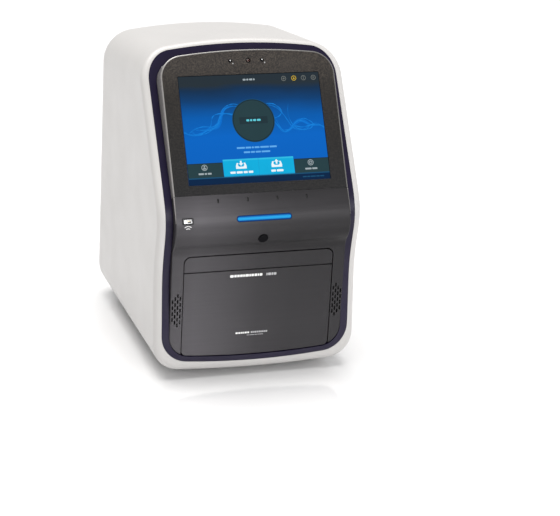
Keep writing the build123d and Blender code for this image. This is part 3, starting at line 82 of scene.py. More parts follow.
# ---------------------------------------------------------------- materials
class Finish:
    """A node material built round one Principled shader."""

    def __init__(self, name, **values):
        self.material = bpy.data.materials.new(name)
        self.material.use_nodes = True
        self.tree = self.material.node_tree
        self.tree.nodes.clear()
        self.surface = self.node("BsdfPrincipled")
        output = self.node("OutputMaterial")
        self.tree.links.new(self.surface.outputs[0], output.inputs[0])
        self.place = self.node("TexCoord").outputs["Object"]
        for key, value in values.items():
            self.surface.inputs[key.replace("_", " ")].default_value = value

    def node(self, kind, **inputs):
        made = self.tree.nodes.new("ShaderNode" + kind)
        for key, value in inputs.items():
            self.feed(made.inputs[key.replace("_", " ")], value)
        return made

    def feed(self, socket, value):
        if isinstance(value, bpy.types.NodeSocket):
            self.tree.links.new(value, socket)
        else:
            socket.default_value = value

    def stretched(self, scale):
        return self.node("Mapping", Vector=self.place, Scale=scale).outputs[0]

    def noise(self, scale, detail=2.0, stretch=(1, 1, 1), rough=0.5):
        return self.node("TexNoise", Vector=self.stretched(stretch), Scale=scale,
                         Detail=detail, Roughness=rough).outputs["Fac"]

    def ramp(self, factor, stops):
        made = self.node("ValToRGB", Fac=factor)
        ramp = made.color_ramp
        while len(ramp.elements) < len(stops):
            ramp.elements.new(0.5)
        for element, (at, colour) in zip(ramp.elements, stops):
            element.position = at
            element.color = (*colour, 1)
        return made.outputs[0]

    def spread(self, factor, low, high, near=0.3, far=0.7):
        """Factor's middle range mapped on to low..high."""
        made = self.node("MapRange", Value=factor)
        for key, value in (("From Min", near), ("From Max", far), ("To Min", low), ("To Max", high)):
            made.inputs[key].default_value = value
        return made.outputs[0]

    def mixed(self, factor, first, second, how="MIX"):
        """Two colours mixed; a Mix node takes colours at inputs 6 and 7 and gives one at output 2."""
        made = self.tree.nodes.new("ShaderNodeMix")
        made.data_type = "RGBA"
        made.blend_type = how
        for index, value in ((0, factor), (6, first), (7, second)):
            self.feed(made.inputs[index], value)
        return made.outputs[2]

    def product(self, first, second):
        return self.mixed(1.0, first, second, "MULTIPLY")

    def shading(self, axis, stops):
        """Grey multiplier, halved, from (position in mm, factor) stops along one axis."""
        at = self.node("SeparateXYZ", Vector=self.place).outputs[axis]
        low, high = stops[0][0], stops[-1][0]
        share = self.spread(at, 0, 1, low * MM, high * MM)
        return self.ramp(share, [((mm - low) / (high - low), (factor / 2,) * 3) for mm, factor in stops])

    def along(self, direction):
        """Distance from the origin along a direction, in metres."""
        made = self.node("VectorMath")
        made.operation = "DOT_PRODUCT"
        self.feed(made.inputs[0], self.place)
        made.inputs[1].default_value = direction
        return made.outputs["Value"]

    def colour(self, value):
        self.feed(self.surface.inputs["Base Color"], value)

    def roughness(self, value):
        self.feed(self.surface.inputs["Roughness"], value)

    def bump(self, height, strength, distance):
        made = self.node("Bump", Height=height, Strength=strength, Distance=distance)
        self.tree.links.new(made.outputs[0], self.surface.inputs["Normal"])


def tint(colour, factor):
    return tuple(min(1.0, part * factor) for part in colour)


def coloured(colour):
    return (*colour, 1)


def moulded(name, colour, rough, grain=900, depth=0.00006, strength=0.25, blotch=6, shift=0.08,
            metallic=0.0, stretch=(1, 1, 1), **values):
    """Plastic, paint or cast metal: slow colour drift, uneven gloss and a fine grain."""
    made = Finish(name, Metallic=metallic, **values)
    drift = made.spread(made.noise(blotch, 3, stretch), 0, 1)
    made.colour(made.mixed(drift, coloured(tint(colour, 1 - shift)), coloured(tint(colour, 1 + shift))))
    made.roughness(made.spread(made.noise(blotch * 4, 3), rough - 0.05, rough + 0.06))
    made.bump(made.noise(grain, 2), strength, depth)
    return made.material


def fascia_paint_and_light(name, colour):
    """Dark metallic paint with a faint level grain; its colour also carries painted light: lighter at the
    left and at the foot, darker to the right and under the nose, with a painted highlight band over the nose.
    """
    made = Finish(name, Metallic=0.5, Specular_IOR_Level=0.3)
    lines = made.noise(26, 5, (0.22, 1, 5), 0.65)
    base = made.mixed(made.spread(lines, 0, 1), coloured(tint(colour, 2.1)), coloured(tint(colour, 2.45)))
    # Painted light across the fascia: lighter at the left, darker to the right.
    painted_light_across = made.shading("X", [(-160, 1.60), (-110, 2.00), (-66, 1.60), (0, 0.90), (60, 0.70),
                                  (160, 0.62)])
    # Painted light up the fascia: a painted highlight band over the nose, painted shade below it, lighter
    # again at the foot.
    painted_light_up = made.shading("Z", [(35, 1.30), (80, 1.14), (125, 1.0), (190, 0.86), (215, 0.80), (245, 0.82),
                                 (268, 0.82), (288, 0.96), (302, 1.42), (313, 1.22), (325, 1.0)])
    made.colour(made.product(made.product(base, painted_light_across), painted_light_up))
    made.roughness(made.spread(lines, 0.36, 0.46))
    made.bump(made.noise(1400, 2), 0.12, 0.00004)
    return made.material


def edge_metal_with_highlight():
    """Satin metal edge of the screen panel, with a painted highlight that makes it brighter at the left."""
    made = Finish("silver_edge", Metallic=0.45)
    lines = made.noise(90, 3, (6, 6, 6), 0.6)
    base = made.mixed(made.spread(lines, 0, 1), (0.52, 0.50, 0.48, 1), (0.62, 0.60, 0.58, 1))
    # Painted highlight: brighter at the left, darker to the right.
    made.colour(made.product(base, made.shading("X", [(-152, 1.0), (-130, 1.3), (-60, 0.95), (152, 0.55)])))
    made.roughness(made.spread(lines, 0.26, 0.36))
    made.bump(made.noise(900, 2), 0.05, 0.00003)
    return made.material


def panel_film():
    """Screen surround: dark brown-grey film with fine round dots, darker towards its foot."""
    made = Finish("panel_film", Roughness=0.38, Specular_IOR_Level=0.25)
    dots = made.node("TexVoronoi", Vector=made.place, Scale=620.0).outputs["Distance"]
    speck = made.spread(dots, 1, 0, 0.15, 0.55)
    weave = made.mixed(speck, (0.015, 0.013, 0.012, 1), (0.095, 0.081, 0.066, 1))
    drift = made.spread(made.noise(7, 2), 0, 0.35)
    mixture = made.mixed(drift, weave, (0.047, 0.044, 0.044, 1))
    share = made.spread(made.along(UP_SLOPE), 0, 1, SCREEN_FOOT, SCREEN_FOOT + 0.24)
    fade = made.ramp(share, [(0.0, (0.27, 0.30, 0.36)), (0.15, (0.30, 0.32, 0.36)), (0.7, (0.47, 0.46, 0.45)),
                             (0.92, (1.0, 0.97, 0.94))])
    made.colour(made.product(mixture, fade))
    made.bump(dots, 0.06, 0.00004)
    return made.material


def glowing(name, colour, strength=1.0):
    """Lit surface with a faint unevenness."""
    made = Finish(name, Roughness=0.3, Emission_Strength=strength, Specular_IOR_Level=0.02)
    made.colour((0.002, 0.002, 0.003, 1))
    drift = made.spread(made.noise(40, 2), 0, 1)
    lit = made.mixed(drift, coloured(tint(colour, 0.97)), coloured(tint(colour, 1.03)))
    made.feed(made.surface.inputs["Emission Color"], lit)
    return made.material


def screen_picture():
    """The display's picture, lit on its front face only: a dark bar, then navy that runs down into blue."""
    made = Finish("screen_picture", Roughness=0.3, Emission_Strength=1.0, Specular_IOR_Level=0.02)
    made.colour((0.002, 0.002, 0.003, 1))
    foot = SCREEN_FOOT + PICTURE_FOOT * MM + 0.009
    wave = made.noise(11, 3, (1, 2.2, 2.2))
    bent = made.node("Math")
    bent.operation = "MULTIPLY_ADD"
    made.feed(bent.inputs[0], wave)
    bent.inputs[1].default_value = 0.018
    made.feed(bent.inputs[2], made.along(UP_SLOPE))
    share = made.spread(bent.outputs[0], 0, 1, foot, foot + PICTURE_H * MM)
    lit = made.ramp(share, [(0.0, (0.001, 0.10, 0.44)), (0.15, (0.001, 0.12, 0.52)),
                            (0.42, (0.001, 0.13, 0.55)), (0.60, (0.001, 0.105, 0.42)),
                            (0.76, (0.004, 0.050, 0.17)), (0.87, (0.007, 0.031, 0.080)),
                            (0.92, (0.020, 0.031, 0.040))])
    lit_front = made.spread(made.along(OFF_SLOPE), 0, 1, SCREEN_FRONT - 0.0012, SCREEN_FRONT - 0.0006)
    made.feed(made.surface.inputs["Emission Color"], made.mixed(lit_front, (0, 0, 0, 1), lit))
    return made.material


def light_diffuser():
    """Lit bar: bright cyan core that runs to blue at its rim."""
    made = Finish("light_diffuser", Roughness=0.3, Emission_Strength=0.72, Specular_IOR_Level=0.04)
    made.colour((0.005, 0.05, 0.12, 1))
    height = made.node("SeparateXYZ", Vector=made.place).outputs["Z"]
    share = made.spread(height, 0, 1, (BAR_Z - BAR_HEIGHT / 2) * MM, (BAR_Z + BAR_HEIGHT / 2) * MM)
    lit = made.ramp(share, [(0.0, (0.0, 0.06, 0.35)), (0.25, (0.004, 0.34, 0.78)),
                            (0.6, (0.012, 0.50, 1.0)), (1.0, (0.0, 0.08, 0.42))])
    made.feed(made.surface.inputs["Emission Color"], lit)
    return made.material


def zinc():
    """Zinc-plated sheet with a faint spangle."""
    made = Finish("zinc_sheet", Metallic=1.0)
    plating = (0.52, 0.53, 0.54)
    cells = made.node("TexVoronoi", Vector=made.place, Scale=55.0).outputs["Color"]
    shade = made.node("SeparateXYZ", Vector=cells).outputs["X"]
    made.colour(made.mixed(made.spread(shade, 0, 1, 0, 1), coloured(tint(plating, 0.86)),
                           coloured(tint(plating, 1.12))))
    made.roughness(made.spread(shade, 0.30, 0.46, 0, 1))
    made.bump(made.noise(260, 3), 0.1, 0.00006)
    return made.material


def circuit():
    """Green board with lighter copper runs under the mask."""
    made = Finish("circuit_mask", Roughness=0.32, Coat_Weight=0.3, Coat_Roughness=0.2)
    runs = made.node("TexBrick", Vector=made.place, Scale=90.0)
    for key, colour in (("Color1", (0.012, 0.085, 0.035, 1)), ("Color2", (0.016, 0.11, 0.045, 1)),
                        ("Mortar", (0.05, 0.22, 0.09, 1))):
        runs.inputs[key].default_value = colour
    runs.inputs["Mortar Size"].default_value = 0.06
    made.colour(runs.outputs["Color"])
    made.bump(runs.outputs["Fac"], 0.2, 0.00005)
    return made.material


def glass(name, colour):
    """Coated clear glass, with a slow drift of its tint."""
    made = Finish(name, Transmission_Weight=0.85, IOR=1.5, Coat_Weight=0.4, Coat_Roughness=0.05)
    shift = made.spread(made.noise(25, 2), 0, 1)
    made.colour(made.mixed(shift, coloured(colour), coloured(tint(colour, 0.8))))
    made.roughness(made.spread(made.noise(90, 2), 0.02, 0.06))
    return made.material


def cut_metal(name, colour, rough, axis=2):
    """Turned or milled metal with rings about one axis."""
    made = Finish(name, Metallic=1.0)
    stretch = [30, 30, 30]
    stretch[axis] = 900
    lines = made.noise(1, 3, tuple(stretch), 0.6)
    made.colour(made.mixed(made.spread(lines, 0, 1), coloured(tint(colour, 0.85)),
                           coloured(tint(colour, 1.08))))
    made.roughness(made.spread(lines, rough - 0.05, rough + 0.08))
    made.bump(made.noise(500, 2), 0.06, 0.00004)
    return made.material


def ink(name, colour, rough, shift):
    """Printed mark; the white and grey ones also make the painted glints on the lenses."""
    return moulded(name, colour, rough, 900, 0.00003, 0.15, 30, shift)


# One material for each slot of the record.
FINISHES = {
    "white_shell": moulded("shell_plastic", (0.512, 0.500, 0.489), 0.36, 1100, 0.00004, 0.12, 4, 0.012,
                           Coat_Weight=0.12, Coat_Roughness=0.2),
    "navy_trim": moulded("navy_plastic", (0.007, 0.004, 0.022), 0.36, 900, 0.00005, 0.15, 7, 0.12,
                           Specular_IOR_Level=0.22),
    "graphite": fascia_paint_and_light("graphite_paint_and_light", (0.058, 0.055, 0.060)),
    "silver_edge": edge_metal_with_highlight(),
    "dark_panel": panel_film(),
    "display": screen_picture(),
    "lens_black": moulded("lens_black", (0.004, 0.004, 0.005), 0.10, 300, 0.00002, 0.05, 20, 0.2,
                          Specular_IOR_Level=0.03),
    "blue_light": light_diffuser(),
    "black_plastic": moulded("black_plastic", (0.008, 0.008, 0.009), 0.42, 1000, 0.00006, 0.25, 9, 0.15,
                             Specular_IOR_Level=0.22),
    "sheet_steel": zinc(),
    "painted_panel": moulded("panel_paint", (0.42, 0.42, 0.42), 0.46, 700, 0.0001, 0.4, 5, 0.03),
    "black_cast": moulded("cast_coating", (0.020, 0.020, 0.022), 0.44, 620, 0.00012, 0.5, 12, 0.18),
    "aluminium": cut_metal("milled_aluminium", (0.70, 0.71, 0.72), 0.30),
    "well_block": cut_metal("plated_block", (0.33, 0.34, 0.35), 0.36),
    "screw_steel": cut_metal("screw_plating", (0.66, 0.66, 0.67), 0.22),
    "rubber": moulded("foot_rubber", (0.018, 0.018, 0.018), 0.78, 500, 0.00012, 0.5, 15, 0.2),
    "circuit_board": circuit(),
    "motor_black": moulded("motor_paint", (0.030, 0.030, 0.034), 0.38, 500, 0.00008, 0.3, 14, 0.2,
                           metallic=0.3),
    "brass": cut_metal("brass_cut", (0.72, 0.52, 0.24), 0.26, 0),
    "filter_glass": glass("filter_glass", (0.40, 0.75, 0.66)),
    "splitter_glass": glass("splitter_glass", (0.82, 0.74, 0.92)),
    "ceramic": moulded("fired_ceramic", (0.84, 0.84, 0.82), 0.55, 400, 0.00008, 0.3, 30, 0.04),
    "fan_black": moulded("fan_plastic", (0.022, 0.022, 0.024), 0.46, 800, 0.00008, 0.35, 16, 0.2),
}
# White and grey print; both also serve for painted glints on the lenses.
WHITE_PRINT_AND_GLINT = ink("white_print_and_glint", (0.80, 0.80, 0.79), 0.5, 0.03)
GREY_PRINT_AND_GLINT = ink("grey_print_and_glint", (0.42, 0.42, 0.43), 0.45, 0.05)
DARK_PRINT = ink("dark_print", (0.03, 0.03, 0.035), 0.5, 0.1)
ORANGE = moulded("orange_insert", (0.80, 0.22, 0.03), 0.42, 900, 0.00005, 0.2, 30, 0.06)
IVORY = moulded("ivory_plastic", (0.80, 0.78, 0.72), 0.42, 900, 0.00005, 0.2, 20, 0.03)
GOLD = cut_metal("gold_contacts", (0.85, 0.62, 0.28), 0.22)
PALE_BLUE = glowing("lit_pale_blue", (0.12, 0.42, 0.85))
SOFT_BLUE = glowing("lit_soft_blue", (0.01, 0.24, 0.72))
MID_BLUE = glowing("lit_mid_blue", (0.004, 0.195, 0.66))
CYAN = glowing("lit_cyan", (0.004, 0.42, 0.72))
CYAN_EDGE = glowing("lit_cyan_edge", (0.01, 0.30, 0.58))
SLATE = glowing("lit_slate", (0.020, 0.050, 0.058))
SLATE_DARK = glowing("lit_slate_dark", (0.010, 0.026, 0.036))
SLATE_RIM = glowing("lit_slate_rim", (0.010, 0.075, 0.16))
SLATE_DEEP = glowing("lit_slate_deep", (0.016, 0.036, 0.044))
FAINT_BLUE = glowing("lit_faint_blue", (0.002, 0.165, 0.60))
LIT_CYAN = glowing("lit_marks_cyan", (0.12, 0.62, 0.72))
CYAN_LIGHT = glowing("lit_cyan_light", (0.03, 0.50, 0.78))
LIT_DIM = glowing("lit_dim", (0.16, 0.17, 0.16))
LIT_WHITE = glowing("lit_white", (0.86, 0.93, 0.97))
LIT_GREY = glowing("lit_grey", (0.36, 0.42, 0.45))
LIT_YELLOW = glowing("lit_yellow", (0.62, 0.42, 0.03))
STRIP_NAVY = glowing("lit_strip", (0.002, 0.019, 0.063))
HAZE_BLUE = glowing("lit_haze", (0.001, 0.15, 0.60))
BORDER = glowing("lit_border", (0.004, 0.007, 0.010))
LENS_BROWN = moulded("lens_brown", (0.050, 0.020, 0.015), 0.2, 300, 0.00002, 0.05, 60, 0.3,
                     Specular_IOR_Level=0.3)
# Painted glow round the light bar.
HALO_NEAR = glowing("halo_near", (0.0, 0.055, 0.30))
HALO_FAR = glowing("halo_far", (0.012, 0.030, 0.090))

for part in frame["record"]["subparts"]:
    mesh = frame["nodes"][part["node"]].data
    mesh.materials.clear()
    mesh.materials.append(FINISHES[part["material_slot"]])


# ---------------------------------------------------------------- mesh tools
def plane(origin, across, up):
    """Matrix of a drawing plane whose normal is across x up; lengths on it are millimetres."""
    x, y = Vector(across).normalized(), Vector(up).normalized()
    z = x.cross(y)
    rows = [(x[i], y[i], z[i], origin[i]) for i in range(3)]
    return Matrix((*rows, (0, 0, 0, 1)))


def on_nose(x, z, lift=0.0):
    """Point on the fascia's nose or brow, in millimetres."""
    radius = NOSE_RADIUS if z > NOSE_Z else BROW_RADIUS
    rise = (z - NOSE_Z) / radius
    level = sqrt(1 - rise * rise)
    return Vector((x, NOSE_Y + radius * (1 - level) - lift * level, z + lift * rise))


def circle(u, v, radius, steps=48):
    return [(u + radius * cos(2 * pi * i / steps), v + radius * sin(2 * pi * i / steps))
            for i in range(steps)]


def stadium(u, v, radius, half):
    """Upright outline with round ends; its straight sides run half up and half down."""
    return [(u + radius * cos(start + pi * k / 7), v + rise + radius * sin(start + pi * k / 7))
            for start, rise in ((0, half), (pi, -half)) for k in range(8)]


def rectangle(u, v, width, height, corner=0.0):
    """Outline centred on (u, v), with round corners."""
    if corner <= 0:
        return [(u - width / 2, v - height / 2), (u + width / 2, v - height / 2),
                (u + width / 2, v + height / 2), (u - width / 2, v + height / 2)]
    points = []
    for quarter, (sx, sy) in enumerate(((1, 1), (-1, 1), (-1, -1), (1, -1))):
        for i in range(7):
            angle = pi / 2 * (quarter + i / 6)
            points.append((u + sx * (width / 2 - corner) + corner * cos(angle),
                           v + sy * (height / 2 - corner) + corner * sin(angle)))
    return points


def row_of_bars(widths, gap, left=None, middle=0.0):
    """Centre and width of each bar in a row, from its left end or about its middle."""
    at = middle - (sum(widths) + gap * (len(widths) - 1)) / 2 if left is None else left
    for width in widths:
        yield at + width / 2, width
        at += width + gap


class Piece:
    """Mesh under construction, in millimetres on any number of drawing planes."""

    def __init__(self):
        self.bm = bmesh.new()
        self.materials = []

    def number(self, material):
        if material not in self.materials:
            self.materials.append(material)
        return self.materials.index(material)

    def rows(self, rings, material, closed=True, caps=True, smooth=True):
        """Surface through rings of world points, with its ends capped."""
        number = self.number(material)
        made = [[self.bm.verts.new(Vector(p) * MM) for p in ring] for ring in rings]
        count = len(made[0])
        faces = []
        for low, high in zip(made, made[1:]):
            for i in range(count if closed else count - 1):
                j = (i + 1) % count
                faces.append(self.bm.faces.new((low[i], low[j], high[j], high[i])))
        for face in faces:
            face.smooth = smooth
        if caps:
            faces.append(self.bm.faces.new(made[0][::-1]))
            faces.append(self.bm.faces.new(made[-1]))
        for face in faces:
            face.material_index = number

    def slab(self, place, outline, low, high, material, ease=0.0):
        """Prism of an outline on a plane, with an eased upper edge."""
        levels = [(low, 0.0), (high - ease, 0.0), (high, ease)] if ease else [(low, 0.0), (high, 0.0)]
        middle = Vector((sum(p[0] for p in outline), sum(p[1] for p in outline))) / len(outline)
        rings = []
        for level, inset in levels:
            ring = []
            for u, v in outline:
                to_middle = middle - Vector((u, v))
                step = to_middle.normalized() * inset if to_middle.length else to_middle
                ring.append(place @ Vector((u + step.x, v + step.y, level)))
            rings.append(ring)
        self.rows(rings, material, smooth=False)

    def turned(self, place, profile, material, u=0.0, v=0.0, steps=40):
        """Closed ring: a profile of (radius, height) pairs turned about the plane's normal."""
        number = self.number(material)
        made = []
        for i in range(steps):
            angle = 2 * pi * i / steps
            made.append([self.bm.verts.new((place @ Vector((u + r * cos(angle), v + r * sin(angle), h))) * MM)
                         for r, h in profile])
        for i in range(steps):
            first, second = made[i], made[(i + 1) % steps]
            for j in range(len(profile)):
                k = (j + 1) % len(profile)
                face = self.bm.faces.new((first[j], second[j], second[k], first[k]))
                face.material_index = number
                face.smooth = True

    def dome(self, place, radius, height, material, u, v, base):
        """Shallow closed button."""
        rings = []
        for i in range(6):
            angle = pi / 2 * i / 6
            rings.append([place @ Vector((*p, base + height * sin(angle)))
                          for p in circle(u, v, radius * cos(angle), 32)])
        self.rows(rings, material)

    def tube(self, points, radius, material, sides):
        """Round bar along a path of world points."""
        points = [Vector(p) for p in points]
        rings = []
        side = None
        for i, point in enumerate(points):
            ahead = points[min(i + 1, len(points) - 1)] - points[max(i - 1, 0)]
            ahead.normalize()
            if side is None:
                side = ahead.orthogonal().normalized()
            side = (side - ahead * side.dot(ahead)).normalized()
            other = ahead.cross(side)
            rings.append([point + (side * cos(2 * pi * k / sides) + other * sin(2 * pi * k / sides)) * radius
                          for k in range(sides)])
        self.rows(rings, material)

    def linked(self, name):
        """The finished mesh, as an object in the scene."""
        bmesh.ops.recalc_face_normals(self.bm, faces=self.bm.faces)
        mesh = bpy.data.meshes.new(name)
        self.bm.to_mesh(mesh)
        self.bm.free()
        for material in self.materials:
            mesh.materials.append(material)
        made = bpy.data.objects.new(name, mesh)
        bpy.context.scene.collection.objects.link(made)
        return made

    def done(self, name, body, round_edges=0.0):
        made = self.linked(name)
        if round_edges:
            bevel = made.modifiers.new("round", "BEVEL")
            bevel.width = round_edges * MM
            bevel.segments = 2
            bevel.limit_method = "ANGLE"
        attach(made, body)


# ---------------------------------------------------------------- touch screen picture
SCREEN = plane((0, SEAM_Y, SEAM_Z), (1, 0, 0), UP_SLOPE)
PICTURE = SCREEN @ Matrix.Translation((-PICTURE_W / 2, PICTURE_FOOT, -0.4))
LAYER_FOOT = 0.004               # lit layers start just clear of the display's face
picture = Piece()


def layer_top(level):
    """Height of a lit layer's face; a higher level lies over a lower one."""
    return 0.01 + 0.02 * level


def shape(outline, level, material):
    """Thin lit layer on the picture."""
    picture.slab(PICTURE, outline, LAYER_FOOT, layer_top(level), material)


def band(centre, widths, level, material):
    """Ribbon along centre points, as wide as widths says."""
    left, right = [], []
    for i, (u, v) in enumerate(centre):
        before, after = centre[max(i - 1, 0)], centre[min(i + 1, len(centre) - 1)]
        along = Vector((after[0] - before[0], after[1] - before[1])).normalized()
        out = Vector((-along.y, along.x)) * widths[i] / 2
        left.append((u + out.x, v + out.y))
        right.append((u - out.x, v - out.y))
    top = layer_top(level)
    rings = [[PICTURE @ Vector((*a, LAYER_FOOT)), PICTURE @ Vector((*b, LAYER_FOOT)),
              PICTURE @ Vector((*b, top)), PICTURE @ Vector((*a, top))] for a, b in zip(left, right)]
    picture.rows(rings, material, smooth=False)


def marks(u, v, widths, height, level, material):
    """Row of plain rounded bars, centred on (u, v), that stands for a caption."""
    for middle, width in row_of_bars(widths, height * 0.45, middle=u):
        shape(rectangle(middle, v, width, height, min(width, height) * 0.3), level, material)


def outline_ring(u, v, radius, width, level, material):
    low, high = LAYER_FOOT, layer_top(level)
    picture.turned(PICTURE, [(radius - width, low), (radius, low), (radius, high), (radius - width, high)],
                   material, u, v, 32)


def smooth_path(points, steps):
    """Catmull-Rom curve through points."""
    path = []
    padded = [points[0], *points, points[-1]]
    for i in range(1, len(padded) - 2):
        p0, p1, p2, p3 = padded[i - 1:i + 3]
        for k in range(steps):
            t = k / steps
            path.append(tuple(0.5 * (2 * b + (c - a) * t + (2 * a - 5 * b + 4 * c - d) * t * t
                                     + (3 * b - 3 * c + d - a) * t ** 3)
                              for a, b, c, d in zip(p0, p1, p2, p3)))
    path.append(points[-1])
    return path


# Ribbons of light on both sides of the round button: control points, then the strands' spread.
RIBBONS = [
    ([(0.5, 91), (12, 85), (27, 84), (42, 88), (56, 98), (64, 112), (69, 123), (78, 131), (88, 134),
      (98, 133)], 2.0),
    ([(0.5, 89), (16, 84), (33, 88), (46, 94), (58, 96), (64, 104), (68, 116), (74, 125), (84, 130),
      (96, 130)], 2.6),
    ([(10, 88), (21, 95), (35, 97.5), (50, 97), (60, 103), (66, 113), (73, 118), (85, 117), (98, 115)], 2.4),
    ([(15, 89), (25, 84), (38, 90), (47, 97), (50, 107), (52, 113), (58, 117.5), (70, 119), (82, 118),
      (94, 114)], 1.8),
    ([(22, 93), (38, 92), (52, 93), (62, 102), (67, 114), (72, 122)], 2.2),
    ([(148, 133), (160, 131.5), (169, 125.5), (173, 119), (170, 112), (162, 108), (154, 107)], 1.6),
    ([(155, 122), (162, 104), (170, 88), (177.5, 83.4), (186, 88), (194, 97), (202, 102.5), (212, 104.5),
      (222, 99), (226, 94), (221, 88), (210, 85.5), (198, 88), (190, 95.5), (185, 107), (184, 119),
      (186, 130)], 1.8),
    ([(151, 131), (165, 125), (175, 114), (184, 99), (190, 90), (200, 86), (212, 86.5), (222, 93),
      (233, 94), (245, 88.5)], 2.6),
    ([(158, 103), (171, 85), (182, 85.5), (197, 99), (208, 101), (221, 93), (233, 92), (245, 90)], 2.4),
    ([(163, 96), (172, 87), (184, 87), (193, 92), (205, 90), (218, 92), (232, 95.5), (245, 87)], 1.8),
]
HAZY = (1, 8)                    # families with a broad haze under their strands
for family, (points, fan) in enumerate(RIBBONS):
    if family in HAZY:
        path = smooth_path(points, 8)
        swell = [0.4 + 6.0 * sin(pi * i / (len(path) - 1)) ** 2 for i in range(len(path))]
        band(path, swell, 0.5 + 0.02 * family, HAZE_BLUE)
    for strand in range(3):
        shift = (strand - 1) * fan * 0.5
        moved = [(u, v + shift * cos(1.9 * i + family)) for i, (u, v) in enumerate(points)]
        path = smooth_path(moved, 10)
        swell = [0.30 + 0.55 * sin(pi * i / (len(path) - 1)) * (0.6 + 0.4 * sin(0.35 * i + family))
                 for i in range(len(path))]
        shade = (MID_BLUE, SOFT_BLUE, FAINT_BLUE)[(family + strand) % 3]
        band(path, swell, 1 + 0.05 * family + 0.015 * strand, shade)

# Round button.
BUTTON_U, BUTTON_V = 122.5, 104.8
for radius, level, shade in ((37.0, 2.4, SLATE_RIM), (36.0, 2.7, SLATE_DARK), (34.4, 3, SLATE)):
    shape(circle(BUTTON_U, BUTTON_V, radius, 96), level, shade)
shape(rectangle(BUTTON_U, BUTTON_V + 0.5, 49, 12, 1), 3.3, SLATE_DEEP)
marks(BUTTON_U, BUTTON_V + 0.6, [5.0, 3.6, 5.2, 6.4], 3.4, 4, LIT_CYAN)

# Captions, and a row of small icons at the upper right.
marks(122, 174.9, [5.0, 3.4, 5.6, 2.6], 3.0, 3, LIT_GREY)
ICON_V = 174.4
for u, lit in ((183.3, LIT_DIM), (201.2, LIT_YELLOW), (218.2, LIT_DIM), (235.8, LIT_DIM)):
    outline_ring(u, ICON_V, 4.3, 1.0, 3, lit)
shape(rectangle(183.3, ICON_V, 3.8, 1.1, 0.3), 3, LIT_DIM)
shape(rectangle(183.3, ICON_V, 1.1, 3.8, 0.3), 3, LIT_DIM)
shape([(199.4, 173.0), (203.0, 173.0), (201.2, 176.6)], 3, LIT_YELLOW)
shape(rectangle(218.2, 173.7, 1.1, 2.8, 0.3), 3, LIT_DIM)
shape(circle(218.2, 176.3, 0.8, 16), 3, LIT_DIM)
shape(rectangle(235.8, 175.2, 3.4, 1.0, 0.3), 3, LIT_DIM)
shape(rectangle(235.8, 173.4, 3.4, 1.0, 0.3), 3, LIT_DIM)
marks(123, 59.3, [14, 9.5, 3.4, 8.5, 15, 12.5], 2.9, 3, PALE_BLUE)
marks(122.5, 51.6, [11, 7, 9, 15], 2.8, 3, PALE_BLUE)

# Row of four tabs over the navy strip: two lit ones with trays and arrows, and a dark one on either side.
TAB = PICTURE_W / 4
shape(rectangle(PICTURE_W / 2, 6.2, PICTURE_W - 0.6, 11.8, 0.3), 1, STRIP_NAVY)
shape(rectangle(PICTURE_W / 2, 11.2, PICTURE_W - 0.6, 2.0, 0.3), 1.2, SLATE_RIM)
for column in (0, 3):
    shape(rectangle(TAB * (column + 0.5), 24.3, TAB - 0.6, 24.2, 0.5), 2, SLATE)
    shape(rectangle(TAB * (column + 0.5), 35.9, TAB - 0.6, 0.9, 0.3), 2.4, SLATE_DARK)
for column in (1, 2):
    shape(rectangle(TAB * (column + 0.5), 26.4, TAB - 0.3, 29.2, 0.5), 2.2, CYAN)
    shape(rectangle(TAB * (column + 0.5), 39.6, TAB - 0.3, 2.6, 0.5), 2.4, CYAN_LIGHT)
    shape(rectangle(TAB * (column + 0.5), 12.6, TAB - 0.3, 1.4, 0.4), 2.6, CYAN_EDGE)
shape(rectangle(PICTURE_W / 2, 26.4, 0.5, 27, 0.2), 3, CYAN_EDGE)
for column, captions in ((1, [9, 10.5, 7, 8]), (2, [8, 11.5])):
    u = TAB * (column + 0.5) + (0.3 if column == 1 else 0.5)
    tray = [(-9.2, 24.3), (9.2, 24.3), (9.2, 29.0), (7.4, 34.2), (4.4, 34.2), (5.8, 30.4),
            (3.6, 27.8), (-3.6, 27.8), (-5.8, 30.4), (-4.4, 34.2), (-7.4, 34.2), (-9.2, 29.0)]
    shape([(u + a, b) for a, b in tray], 3, LIT_WHITE)
    arrow = [(-1.4, 37.6), (1.4, 37.6), (1.4, 33.6), (4.0, 33.6), (0, 29.2), (-4.0, 33.6), (-1.4, 33.6)]
    if column == 2:
        arrow = [(-1.4, 33.4), (-4.0, 33.4), (0, 37.6), (4.0, 33.4), (1.4, 33.4), (1.4, 29.6), (-1.4, 29.6)]
    shape([(u + a, b) for a, b in arrow], 3.2, LIT_WHITE)
    marks(u, 18.3, captions, 3.6, 3, LIT_WHITE)
for column, captions in ((0, [9, 4, 6.5]), (3, [11, 9])):
    u = TAB * (column + 0.5) - 1.4
    outline_ring(u, 29.0, 5.1, 1.0, 3, LIT_GREY)
    marks(u, 18.6, captions, 2.9, 3, LIT_GREY)
u = TAB * 0.5 - 1.4
shape(circle(u, 30.6, 1.5, 20), 3, LIT_GREY)
shape([(u - 3.0, 26.2), (u + 3.0, 26.2), (u + 1.9, 28.4), (u - 1.9, 28.4)], 3, LIT_GREY)
outline_ring(TAB * 3.5 - 1.4, 29.0, 2.8, 1.2, 3, LIT_GREY)
marks(216, 5.3, [7, 5, 9, 6, 7], 2.0, 2, SLATE_RIM)

# Dark border of the picture.
for u, v, width, height in ((PICTURE_W / 2, PICTURE_H - 0.45, PICTURE_W, 0.9),
                            (PICTURE_W / 2, 0.3, PICTURE_W, 0.6),
                            (0.35, PICTURE_H / 2, 0.7, PICTURE_H - 0.8),
                            (PICTURE_W - 0.35, PICTURE_H / 2, 0.7, PICTURE_H - 0.8)):
    shape(rectangle(u, v, width, height), 4.2, BORDER)
picture.done("screen_marks", "chassis")
